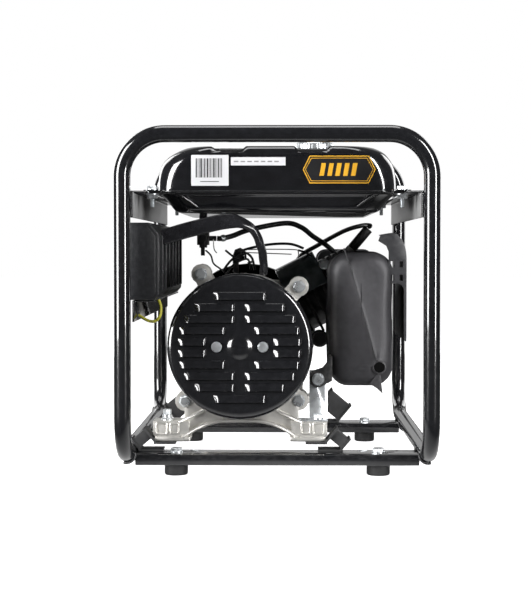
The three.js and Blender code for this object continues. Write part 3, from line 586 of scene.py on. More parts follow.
def copies(name, unit, places, material, node, smooth=35):
    """Copies of a closed unit by Geometry Nodes, as one piece. A place is a position in metres, then where
    they aren't plain an euler turn and a size."""
    source_mesh = bpy.data.meshes.new(name + "_unit")
    bmesh.ops.recalc_face_normals(unit, faces=unit.faces)
    unit.to_mesh(source_mesh)
    unit.free()
    source = scratch_object(name + "_unit", source_mesh)
    points = bpy.data.meshes.new(name + "_points")
    points.from_pydata([tuple(place[0]) for place in places], [], [])
    for label, index in (("turn", 1), ("size", 2)):
        values = points.attributes.new(label, "FLOAT_VECTOR", "POINT").data
        for value, place in zip(values, places):
            value.vector = tuple((*place, *UNTURNED[len(place) - 1:])[index])
    mesh = run_tree(shared_tree(copies_tree), points, {"Source": source, "Material": FINISHES[material]})
    bpy.data.objects.remove(source)
    return keep_piece(mesh, name, material, node, smooth=smooth)


def hex_head(flats=13.0, height=5.5, washer=8.4):
    """A hexagon head with a chamfered top and a washer under it, along +Z, in millimetres."""
    corner = flats / math.sqrt(3) * MM
    shell = bmesh.new()
    rings = []
    for scale, z in ((1, 1.4), (1, height - 0.7), (0.87, height)):
        turns = [math.pi * i / 3 for i in range(6)]
        rings.append([shell.verts.new((corner * scale * math.cos(turn), corner * scale * math.sin(turn),
                                       z * MM))
                      for turn in turns])
    ring_bridge(shell, rings)
    disc = lathe([(washer * 0.5, -0.6), (washer, -0.3), (washer, 1.1), (washer - 0.4, 1.5),
                  (washer * 0.5, 1.5)],
                 Vector(), "Z", 24)
    return joined(shell, disc)


def pan_head(radius=4.0, height=2.6):
    """A domed screw head along +Z with a sunk cross, in millimetres."""
    return lathe([(radius * 0.4, -0.5), (radius, -0.2), (radius, height * 0.35),
                  (radius * 0.86, height * 0.75), (radius * 0.55, height), (radius * 0.3, height),
                  (radius * 0.16, height * 0.45)],
                 Vector(), "Z", 16, lambda turn, r, along: 0.42 * radius * max(0.0, math.cos(4 * turn)) ** 2
                 if r < radius * 0.35 and along > 0 else 0.0)


# ---- Finishes ----
FINISHES = {}


def make_finishes():
    """Every finish of the object, by name."""
    c = colours()
    black, satin, plastic, rubber = (tuple(x) for x in (c.gloss_black, c.satin_black, c.plastic, c.rubber))
    casting, zinc, exhaust, red = (tuple(x) for x in (c.casting, c.zinc, c.exhaust, c.red))
    rows = {
        "gloss_black": (black, 0.16, dict(coat=1.0, coat_rough=0.04, worn=(0.05, 0.05, 0.052),
                                          worn_amount=0.5, bump=0.03, fine=420, coarse=140, mix=0.5,
                                          dust=0.05)),
        "tank_black": (black, 0.14, dict(coat=1.0, coat_rough=0.03, worn=(0.06, 0.06, 0.062),
                                         worn_amount=0.4, bump=0.025, fine=260, coarse=90, mix=0.5,
                                         dust=0.05)),
        "satin_black": (satin, 0.36, dict(coat=0.3, coat_rough=0.3, worn=(0.20, 0.19, 0.18),
                                          worn_amount=0.6, bump=0.12, fine=600, coarse=120, dust=0.05,
                                          rough_range=0.04)),
        "black_plastic": (plastic, 0.33, dict(worn=(0.05, 0.05, 0.055), worn_amount=0.6, bump=0.25,
                                              fine=1500, coarse=500, mix=0.3, dust=0.10)),
        # Black paint with a raised blue-grey base: a painted reflection of the bright surroundings on the
        # glossy shroud.
        "shroud_blue_black": ((0.125, 0.145, 0.150), 0.20,
                              dict(metal=0.15, coat=1.0, coat_rough=0.08, bump=0.1, fine=500,
                                   coarse=90, dust=0.1, worn=(0.1, 0.1, 0.11),
                                   worn_amount=0.4)),
        "grey_plastic": ((0.16, 0.16, 0.17), 0.42, dict(bump=0.2, fine=1500, coarse=500, dust=0.1)),
        "red_plastic": (red, 0.32, dict(bump=0.15, fine=1500, coarse=400, dust=0.06, coat=0.2)),
        "rubber": (rubber, 0.62, dict(bump=0.25, fine=900, coarse=120, dust=0.12, rough_range=0.05)),
        "cable_black": ((0.014, 0.014, 0.015), 0.38, dict(bump=0.2, fine=1200, coarse=120, dust=0.10)),
        "sleeve_black": ((0.012, 0.012, 0.014), 0.22, dict(bump=0.12, fine=420, coarse=150, mix=0.3,
                                                           dust=0.02, rough_range=0.03)),
        "cast_aluminium": (casting, 0.38, dict(metal=0.80, worn=(0.75, 0.73, 0.70), worn_amount=0.6,
                                               bump=0.6, bump_depth=0.0004, fine=700, coarse=60, mix=0.3,
                                               blotch=0.12, dust=0.2)),
        "zinc": (zinc, 0.30, dict(metal=0.88, bump=0.15, fine=600, coarse=90, blotch=0.15, dust=0.05,
                                  rough_range=0.12)),
        "steel": ((0.42, 0.41, 0.40), 0.34, dict(metal=1.0, bump=0.15, fine=1200, coarse=100, blotch=0.2,
                                                 dust=0.1)),
        "lamination": ((0.10, 0.10, 0.11), 0.5, dict(metal=0.7, bump=0.3, fine=800, coarse=100, dust=0.2)),
        "exhaust_grey": (exhaust, 0.5, dict(metal=0.25, bump=0.2, fine=1100, coarse=130, mix=0.3,
                                            blotch=0.12, worn=(0.16, 0.155, 0.15), worn_amount=0.5,
                                            dust=0.15)),
        "guard_grey": ((0.034, 0.034, 0.037), 0.42, dict(metal=0.2, bump=0.2, fine=900, coarse=150,
                                                         blotch=0.08, worn=(0.2, 0.2, 0.2), worn_amount=0.6,
                                                         dust=0.1)),
        # Pale grey: the print of the dashed strip, and a painted reflection on the tank rails' inner faces.
        "rail_grey": ((0.30, 0.30, 0.30), 0.36, dict(coat=0.4, coat_rough=0.2, bump=0.15, fine=500,
                                                     coarse=80, blotch=0.15, dust=0.2)),
        "label_white": (tuple(c.paper), 0.34, dict(coat=0.4, coat_rough=0.1, blotch=0.02, dust=0.08,
                                                   bump=0.05)),
        "label_ink": ((0.012, 0.012, 0.013), 0.36, dict(coat=0.3, coat_rough=0.1, blotch=0.1, dust=0.03)),
        "amber_line": (tuple(c.amber), 0.34, dict(coat=0.4, coat_rough=0.1, blotch=0.08, dust=0.03)),
        "earth_green": ((0.38, 0.36, 0.03), 0.40, dict(bump=0.1, fine=900, coarse=200, dust=0.1)),
        # Flat black for painted shade: slabs and a disc put where openings would show only shade.
        "void_black": ((0.002, 0.002, 0.002), 0.9, dict(dust=0.0, blotch=0.1, specular=0.1)),
    }
    for name, (base, rough, extra) in rows.items():
        FINISHES[name] = finish_material(name, base, rough, **extra)


# ---- Pieces ----
def node_middle(node):
    low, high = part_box(node)
    return (low + high) / 2


CRADLE_X, CRADLE_Y, CRADLE_TOP, CRADLE_LOW = 199, 284, 449, 31
CHANNELS_Y = (-212.5, 142.5)


class GENERATOR_OT_cradle(bpy.types.Operator):
    """The bent tube cradle, one closed loop, with its weld beads"""

    bl_idname = "generator.cradle"
    bl_label = "Tube Cradle"

    def execute(self, context):
        corners = [(-1, -1, 0), (-1, -1, 1), (1, -1, 1), (1, -1, 0), (1, 1, 0), (1, 1, 1), (-1, 1, 1),
                   (-1, 1, 0)]
        loop = bpy.data.meshes.new("cradle_line")
        loop.from_pydata([at(x * CRADLE_X, y * CRADLE_Y, CRADLE_TOP if top else CRADLE_LOW)
                          for x, y, top in corners], [(i, (i + 1) % 8) for i in range(8)], [])
        mesh = run_tree(shared_tree(tube_tree), loop, {
            "Radius": sizes().tube_radius, "Bend": sizes().tube_bend, "Material": FINISHES["gloss_black"]})
        keep_piece(mesh, "tube_cradle", "gloss_black", "front_hoop",
                   ["front_hoop", "rear_hoop", "left_rail", "right_rail"], 60)
        bead = lathe([(0.5, -2.0), (1.7, -1.2), (2.1, 0.0), (1.7, 1.2), (0.5, 2.0)], Vector(), "X", 10)
        places = []
        for side in (-1, 1):
            for y in CHANNELS_Y:
                for edge in (-1, 1):
                    for step in range(12):
                        turn = math.radians(-100 + step * 9)
                        spot = at(side * CRADLE_X, y + edge * 28, CRADLE_LOW) + Vector((
                            -side * math.cos(turn), 0, math.sin(turn))) * 11.6 * MM
                        places.append((spot, (0, turn * side, 0), (1.1, 1.2, 1.2)))
            for y in (-269, 269):
                for step in range(14):
                    spot = at(side * 188.5, y * 0.997, 344 + step * 2.4)
                    places.append((spot, (0, math.pi / 2, 0), (1.0, 1.1, 1.1)))
        copies("weld_beads", bead, places, "gloss_black", "front_hoop", smooth=60)
        return {"FINISHED"}


# Inner faces of a tank rail below and within these are painted pale grey, a painted reflection of the
# bright surroundings in its black paint.
RAIL_WEB_TOP, RAIL_WEB_INSIDE = 0.369, 0.186  # a tank rail's inner face lies below and within these


class GENERATOR_OT_sheet_metal(bpy.types.Operator):
    """Cross channels and the rails that carry the tank and the control box"""

    bl_idname = "generator.sheet_metal"
    bl_label = "Channels and Rails"

    def execute(self, context):
        for node in NODES:
            if "channel" in node:
                refined(node, "gloss_black", 0.0016)
        for node in ("left_tank_rail", "right_tank_rail"):
            # Inner web faces take the pale grey: a painted reflection on the black rail.
            refined(node, ["tank_black", "rail_grey"], 0.0008,
                    materials_by=lambda spot: 1 if spot.z < RAIL_WEB_TOP and abs(spot.x) < RAIL_WEB_INSIDE
                    else 0)
        refined("control_rail", "gloss_black", 0.0007)
        return {"FINISHED"}


class GENERATOR_OT_feet(bpy.types.Operator):
    """Rubber feet and the inclined rubber mounts between their plates"""

    bl_idname = "generator.feet"
    bl_label = "Feet and Mounts"

    def execute(self, context):
        for node in sorted(NODES):
            if node.startswith("foot"):
                low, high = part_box(node)
                middle = (low + high) / 2
                radius, tall = (high.x - low.x) / 2 / MM, (high.z - low.z) / MM
                foot = lathe([(radius - 4.0, 0), (radius - 1.6, 0.3), (radius - 0.4, 1.4), (radius, 3.2),
                              (radius, tall - 2.2), (radius - 0.3, tall - 1.0), (radius - 1.2, tall)],
                             Vector((middle.x, middle.y, low.z)), "Z", 48)
                keep_shell(foot, node + "_shape", "rubber", node, [node])
            elif node.startswith("isolator"):
                self.mount(node)
        return {"FINISHED"}

    def mount(self, node):
        """A rubber block between two painted plates, told apart by distance along the block's axis."""
        low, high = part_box(node)
        centre = (low + high) / 2
        data = NODES[node].data
        normals = {}
        for face in data.polygons:
            key = tuple(round(v, 1) for v in face.normal)
            if abs(key[1]) < 0.2 and abs(key[0]) > 0.2 and abs(key[2]) > 0.2:
                normals[key] = normals.get(key, 0) + face.area
        axis = Vector(max(normals, key=normals.get)).normalized() if normals else Vector((0, 0, 1))
        heights = [(v.co - centre).dot(axis) for v in data.vertices]
        levels = sorted(set(round(h, 4) for h in heights))
        inner = [h for h in levels if abs(h) < (max(levels) - min(levels)) / 2]
        gap = max((abs(h) for h in inner), default=0.01)
        refined(node, ["satin_black", "rubber"], 0.0006,
                materials_by=lambda spot: 1 if abs((spot - centre).dot(axis)) < gap * 0.98 else 0)


def shell_rings(shell, levels, y_far, y_near, radius):
    """Rings of a pressed shell, in millimetres: each level is (x low, x high, y inset, z), with corners of
    radius(z)."""
    rings = []
    for x_low, x_high, inset, z in levels:
        loop = rounded_loop((x_low, y_near + inset), (x_high, y_far - inset), radius(z), 14, 90)
        rings.append([shell.verts.new(at(x, y, z)) for x, y in loop])
    return rings


def bridged_open(shell, rings):
    """Joins closed rings by quads and leaves both ends open."""
    for first, second in zip(rings, rings[1:]):
        for i in range(len(first)):
            j = (i + 1) % len(first)
            shell.faces.new([first[i], first[j], second[j], second[i]])


def soft_step(value, low, high):
    """0 below low, 1 above high, and a smooth curve between."""
    share = min(1.0, max(0.0, (value - low) / (high - low)))
    return share * share * (3 - 2 * share)


TANK_DIPS = ((-87, -44), (25, 68))
NECK = (52, -60)
TANK_NEAR, TANK_FAR = -205, 190
TANK_BOLT_X, TANK_BOLTS_Y = 165, (TANK_NEAR - 20, TANK_FAR + 20)


def dip_depth(x, y):
    """How far the tank's top is pressed down at a point, in millimetres."""
    depth = 0.0
    for left, right in TANK_DIPS:
        across = soft_step(x, left - 3, left + 4) * (1 - soft_step(x, right - 4, right + 3))
        depth = max(depth, 4.6 * across * (1 - soft_step(y, -152, -144)))
    ring = math.hypot(x - NECK[0], y - NECK[1])
    depth -= 0.8 * soft_step(36 - abs(ring), 0, 4)
    return depth


class GENERATOR_OT_tank(bpy.types.Operator):
    """The pressed fuel tank: upper and lower shells, seam flange with its ears, and the filler neck"""

    bl_idname = "generator.tank"
    bl_label = "Fuel Tank"

    def execute(self, context):
        self.upper()
        self.lower()
        self.seam()
        neck = lathe([(19.5, 438.0), (22.5, 438.2), (22.2, 439.6), (22.0, 441), (22.0, 445.6),
                      (21.6, 446.6), (20.8, 447), (19.8, 446.6), (19.5, 445.8)], at(*NECK, 0), "Z", 64)
        keep_shell(neck, "filler_neck_ring", "tank_black", "tank_upper_shell")
        return {"FINISHED"}

    def upper(self):
        """The upper shell as a skin of rings, made 1.6 mm thick and bored for the filler."""
        skin = bmesh.new()
        levels = [(-161, 160, 0, 377.2), (-161, 160, 0, 380), (-161, 160, 0.2, 386),
                  (-160.9, 159.9, 0.3, 394), (-160.2, 159.2, 0.3, 402), (-159, 158.3, 0.3, 409),
                  (-156.6, 156.2, 0.3, 415.5), (-152.8, 153.2, 0.3, 421), (-147.4, 149.6, 0.4, 426),
                  (-141.6, 146.2, 0.8, 430), (-136.0, 142.0, 1.8, 433.4), (-130.6, 137.0, 3.8, 436.4),
                  (-125.6, 132.2, 7.2, 438.6), (-121.5, 128.0, 11.5, 439.7)]
        rings = shell_rings(skin, levels, TANK_FAR, TANK_NEAR,
                            lambda z: 27 + 12 * soft_step(z, 380, 430) + 10 * soft_step(z, 426, 440))
        for ring, (_, _, _, z) in zip(rings, levels):
            for vert in ring:
                spot = vert.co / MM
                vert.co.z -= dip_depth(spot.x, spot.y + 8) * soft_step(z, 430, 436) * MM
        bridged_open(skin, rings)
        edge = [vert.co / MM for vert in rings[-1]]
        middle = Vector((sum(p.x for p in edge) / len(edge), sum(p.y for p in edge) / len(edge), 0))
        last = rings[-1]
        shares = [0.975 - 0.019 * i for i in range(30)] + [0.38, 0.31, 0.24, 0.17, 0.1, 0.04]
        for share in shares:
            ring = []
            for p in edge:
                x, y = middle.x + (p.x - middle.x) * share, middle.y + (p.y - middle.y) * share
                ring.append(skin.verts.new(at(x, y, 440 - dip_depth(x, y))))
            bridged_open(skin, [last, ring])
            last = ring
        skin.faces.new(last)
        bmesh.ops.recalc_face_normals(skin, faces=skin.faces)
        mesh = bpy.data.meshes.new("tank_skin")
        skin.to_mesh(mesh)
        skin.free()
        scratch = scratch_object("tank_scratch", mesh)
        wall = scratch.modifiers.new("Wall", "SOLIDIFY")
        wall.thickness, wall.offset = 1.6 * MM, -1
        bore = lathe([(19.5, 425), (19.5, 452)], at(*NECK, 0), "Z", 64)
        bore_mesh = bpy.data.meshes.new("bore")
        bmesh.ops.recalc_face_normals(bore, faces=bore.faces)
        bore.to_mesh(bore_mesh)
        bore.free()
        cutter = scratch_object("bore_scratch", bore_mesh)
        cut = scratch.modifiers.new("Bore", "BOOLEAN")
        cut.operation, cut.object, cut.solver = "DIFFERENCE", cutter, "EXACT"
        mesh = baked(scratch)
        bpy.data.objects.remove(cutter)
        keep_piece(mesh, "tank_upper", "tank_black", "tank_upper_shell", ["tank_upper_shell"], 50)

    def lower(self):
        """The tray under the seam, and the bead pressed into its front."""
        levels = [(-161, 160, 0.5, 378.6), (-160.6, 159.6, 0.8, 376.5), (-159.5, 158.5, 1.6, 374.6),
                  (-158, 157, 3.2, 373.4), (-154, 153, 5.2, 370.6), (-149, 148, 7.6, 365.4),
                  (-144.6, 143.6, 9.8, 360.4), (-141.4, 140.4, 11.6, 356.4), (-139.0, 138.0, 13.4, 353.4),
                  (-135.5, 134.5, 16.4, 351.6), (-131, 130, 20.5, 351.0)]
        tray = bmesh.new()
        rings = shell_rings(tray, levels, TANK_FAR, TANK_NEAR, lambda z: 26)
        bridged_open(tray, rings)
        tray.faces.new(rings[0])
        tray.faces.new(rings[-1][::-1])
        keep_shell(tray, "tank_lower", "tank_black", "tank_lower_shell", ["tank_lower_shell"], 50)
        rib = [(-128, -203.6, 372.0), (-118, -200.5, 365.8), (-108.5, -197.2, 358.8), (-104, -195.6, 357.2),
               (-60, -195.4, 357.0), (0, -195.4, 357.0), (80, -195.4, 357.0), (103, -195.6, 357.2),
               (107.5, -197.2, 358.8), (117, -200.5, 365.8), (127, -203.6, 372.0)]
        bead = sweep([Vector(p) * MM for p in rib], circle_section(1.5 * MM, 12))
        keep_shell(bead, "tank_panel_bead", "tank_black", "tank_lower_shell")

    def seam(self):
        """The flange where the shells meet, with the four ears that the tank bolts pass through."""
        loop = rounded_loop((-166, TANK_NEAR - 5), (165, TANK_FAR + 5), 33, 10)
        outline = [at(x, y, 376.9) for x, y in loop]
        flange = plate(outline, Vector((0, 0, 2.3 * MM)), 0.0009, 3)
        ears = []
        for side in (-1, 1):
            for y, inward in zip(TANK_BOLTS_Y, (1, -1)):
                low = (min(side * 150, side * 177), min(y - inward * 14, y + inward * 22))
                high = (max(side * 150, side * 177), max(y - inward * 14, y + inward * 22))
                loop = rounded_loop(low, high, 9, 6)
                ears.append(plate([at(a, b, 377.1) for a, b in loop], Vector((0, 0, 2.4 * MM)), 0.0008, 2))
        keep_shell(joined(flange, *ears), "tank_seam", "tank_black", "tank_upper_shell")


class GENERATOR_OT_labels(bpy.types.Operator):
    """Plain stickers on the tank: a barred label, a dashed strip and an outlined badge"""

    bl_idname = "generator.labels"
    bl_label = "Stickers"

    FACE_Y = TANK_NEAR - 0.02

    def sticker(self, name, low, high, front, material, radius=1.2):
        loop = rounded_loop(low, high, radius, 4)
        shell = plate([at(x, self.FACE_Y, z) for x, z in loop], Vector((0, -front * MM, 0)), 0)
        return keep_shell(shell, name, material, "tank_upper_shell")

    def execute(self, context):
        self.sticker("barred_label", (-115, 386), (-65, 427), 0.25, "label_white")
        bars, x = [], -109.0
        widths = (1.6, 0.6, 0.9, 2.1, 0.5, 1.3, 0.7, 1.9, 0.6, 1.1, 0.5, 2.0, 0.8, 0.6, 1.5, 0.7, 1.0)
        for width in widths:
            bars.append(slab((x, self.FACE_Y - 0.36, 397), (x + width, self.FACE_Y, 422.5), 0))
            x += width + 1.05
        bars.append(slab((-103, self.FACE_Y - 0.36, 391.2), (-78, self.FACE_Y, 392.2), 0))
        keep_shell(joined(*bars), "label_bars", "label_ink", "tank_upper_shell")
        self.sticker("plain_strip", (-62, 413), (11, 424), 0.25, "label_white", 0.8)
        dash = [slab((-58 + 9 * i, self.FACE_Y - 0.36, 417.4), (-52 + 9 * i, self.FACE_Y, 419.2), 0)
                for i in range(7)]
        keep_shell(joined(*dash), "strip_dashes", "rail_grey", "tank_upper_shell")
        self.badge()
        return {"FINISHED"}

    def badge(self):
        """A long six-sided badge with a double amber outline and a row of slanted blocks."""
        def loop(inset):
            left, right, low, high = 34 + inset, 131 - inset, 389 + inset, 426 - inset
            cut = 9 - inset * 0.3
            return [(left + cut, low), (right - cut, low), (right, (low + high) / 2), (right - cut, high),
                    (left + cut, high), (left, (low + high) / 2)]
        for name, inset, front, material in (("badge_rim", 0, 0.20, "amber_line"),
                                             ("badge_field", 1.3, 0.30, "label_ink"),
                                             ("badge_line", 3.0, 0.40, "amber_line"),
                                             ("badge_inner", 3.8, 0.50, "label_ink")):
            shell = plate([at(x, self.FACE_Y, z) for x, z in loop(inset)], Vector((0, -front * MM, 0)), 0)
            keep_shell(shell, name, material, "tank_upper_shell")
        blocks = []
        for i in range(5):
            x = 56 + 10.5 * i
            quad = [(x, 399), (x + 6, 399), (x + 9, 416), (x + 3, 416)]
            blocks.append(plate([at(a, self.FACE_Y, b) for a, b in quad], Vector((0, -0.62 * MM, 0)), 0))
        keep_shell(joined(*blocks), "badge_blocks", "amber_line", "tank_upper_shell")


COVER_SCREW_OFFSET = 31
EAR_OFFSETS = ((-53, 97), (79, 80), (-75, -75), (79, -74))
EAR_FRONT = -188.5
LONG_END, SHORT_END = 0.0086, 0.0055  # a louvre hood's sloping and rounded ends


def louvre_hood(half):
    """One closed louvre hood along X: flush at its upper edge, open below, with quarter-round ends."""
    tall, rise = sizes().louvre_height, sizes().louvre_rise
    steps = 9
    quarter = [math.pi / 2 * i / steps for i in range(steps + 1)]
    stations = [(-half + LONG_END * i / steps, 1 - (1 - i / steps) ** 1.5) for i in range(steps + 1)]
    stations += [(half - SHORT_END * (1 - math.cos(turn)), math.sin(turn)) for turn in quarter[::-1]]
    shell = bmesh.new()
    rings = []
    for x, lift in stations:
        section = []
        for i in range(8):
            turn = math.pi / 2 * i / 7
            section.append((-rise * lift * math.sin(turn) - 0.00002, tall * (0.5 - (1 - math.cos(turn)))))
        section += [(-rise * lift * 0.96 - 0.00002, -tall * 0.5 - 0.0002 * lift), (0.0008, -tall * 0.5),
                    (0.0008, tall * 0.5)]
        rings.append([shell.verts.new((x, y, z)) for y, z in section])
    ring_bridge(shell, rings)
    return shell


class GENERATOR_OT_alternator(bpy.types.Operator):
    """Louvred end cover, cast end bell, laminated stator and adaptor of the alternator"""

    bl_idname = "generator.alternator"
    bl_label = "Alternator"

    def execute(self, context):
        face = COVER_LOW.y / MM + 4
        cover = lathe([(2, face - 5.2), (6, face - 4.9), (10, face - 4.0), (13.5, face - 2.5),
                       (16, face - 1.1), (18.5, face - 0.3), (21, face), (86, face), (91, face + 0.5),
                       (94.6, face + 1.8), (96.9, face + 4.2), (97.7, face + 7.5), (97.7, face + 22),
                       (98, face + 23.4), (97.7, face + 24.6), (97, face + 25.0), (96.2, face + 24.2),
                       (96.0, face + 22), (95.8, face + 8), (93, face + 3.2), (86, face + 1.8),
                       (2, face + 1.8)],
                      COVER_CENTRE, "Y", 160)
        keep_shell(cover, "cover_shape", "gloss_black", "alternator_end_cover",
                   ["alternator_end_cover"], 50)
        front = COVER_CENTRE + Vector((0, face * MM, 0))
        by_length = {}
        for row, (near, far) in enumerate(LOUVRE_ROWS):
            spans = [(-far, far)] if near == 0 else [(-far, -near), (near, far)]
            for left, right in spans:
                for side in (-1, 1):
                    spot = front + Vector(((left + right) / 2 * MM, 0, side * LOUVRE_PITCH * (row + 0.5)))
                    by_length.setdefault(round((right - left) / 2, 3), []).append((spot,))
        for index, (half, places) in enumerate(sorted(by_length.items())):
            copies(f"louvre_hoods_{index}", louvre_hood(half * MM), places, "gloss_black",
                   "alternator_end_cover", smooth=38)
            # A black slab under each hood is painted shade for the dark opening below it.
            below = Vector((0, -0.0001, -sizes().louvre_height * 0.5 - 0.0005))
            slots = [(spot + below,) for spot, in places]
            gap = slab((-half + 7, -0.5, -1.1), (half - 3.4, 0.4, 0.3), 0)
            copies(f"louvre_gaps_{index}", gap, slots, "void_black", "alternator_end_cover")
        refined("alternator_end_bell", "cast_aluminium", 0.0016, 3, 28, 40)
        self.bell_ribs()
        self.stator()
        refined("alternator_adaptor", "cast_aluminium", 0.0014, 2)
        return {"FINISHED"}

    def bell_ribs(self):
        """Cast rims along the bell's legs and round the pockets of its pads, on both sides."""
        middle = COVER_CENTRE.x / MM
        rims = []
        for side in (-1, 1):
            def spot(out, y, z):
                return at(middle + side * out, y, z)
            lower = [spot(*p) for p in ((78, -203.5, 49), (73, -202, 52), (58, -196, 60),
                                        (43, -191.5, 65.5), (24, -190.5, 69.2), (0, -190.2, 69.8))]
            upper = [spot(*p) for p in ((84, -203, 69), (80, -201, 70), (67, -195, 75.5), (53, -190.5, 82),
                                        (47, -190, 86))]
            for line, radius in ((lower, 2.6), (upper, 2.3)):
                rims.append(sweep(smooth_line(line, 8), circle_section(radius * MM, 12)))
            for near, far, low, high in ((98.5, 112.6, 53, 68), (82.5, 94, 54, 67)):
                corners = rounded_loop((near, low), (far, high), 2.5, 5)
                loop = [spot(x, -203.2, z) for x, z in corners]
                ring = bmesh.new()
                rings = []
                for i, point in enumerate(loop):
                    along = (loop[(i + 1) % len(loop)] - loop[i - 1]).normalized()
                    out = along.cross(Vector((0, 1, 0)))
                    turns = [2 * math.pi * k / 10 for k in range(10)]
                    spokes = [out * math.cos(turn) + Vector((0, 1, 0)) * math.sin(turn) for turn in turns]
                    rings.append([ring.verts.new(point + spoke * 1.5 * MM) for spoke in spokes])
                ring_bridge(ring, rings, closed=True)
                rims.append(ring)
            low_x, high_x = sorted((middle + side * 67, middle + side * 115.5))
            rims.append(slab((low_x, -204.6, 43.2), (high_x, -160, 49.5), 0.0016))
        keep_shell(joined(*rims), "bell_rims", "cast_aluminium", "alternator_end_bell", smooth=50,
                   merge=FINE_MERGE_GAP)

    def stator(self):
        """The stack's sheets show as fine rings."""
        low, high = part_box("stator")
        radius = (high.x - low.x) / 2 / MM
        middle = node_middle("stator")
        profile = [(60, low.y / MM), (radius - 1, low.y / MM)]
        y, step = low.y / MM + 0.6, 2.1
        while y < high.y / MM - 2.4:
            profile += [(radius, y), (radius, y + 1.25), (radius - 0.5, y + 1.45), (radius - 0.5, y + 1.9)]
            y += step
        profile += [(radius - 1, high.y / MM), (60, high.y / MM)]
        stack = bmesh.new()
        rings = []
        for r, along in profile:
            turns = [2 * math.pi * i / 72 for i in range(72)]
            rings.append([stack.verts.new((middle.x + r * MM * math.cos(turn), along * MM,
                                           middle.z + r * MM * math.sin(turn))) for turn in turns])
        ring_bridge(stack, rings, closed=True)
        keep_shell(stack, "stator_stack", "lamination", "stator", ["stator"], 30)


OUTLET = (140, 139)
SEAM_LINE = ((88, 310), (91, 303), (97, 286), (103, 268), (113, 232), (123, 195), (134, 155), (137, 147))


def seam_distance(x, z):
    """Distance in millimetres from the muffler's folded seam."""
    gaps = []
    for (ax, az), (bx, bz) in zip(SEAM_LINE, SEAM_LINE[1:]):
        dx, dz = bx - ax, bz - az
        share = max(0.0, min(1.0, ((x - ax) * dx + (z - az) * dz) / (dx * dx + dz * dz)))
        gaps.append(math.hypot(x - ax - share * dx, z - az - share * dz))
    return min(gaps)


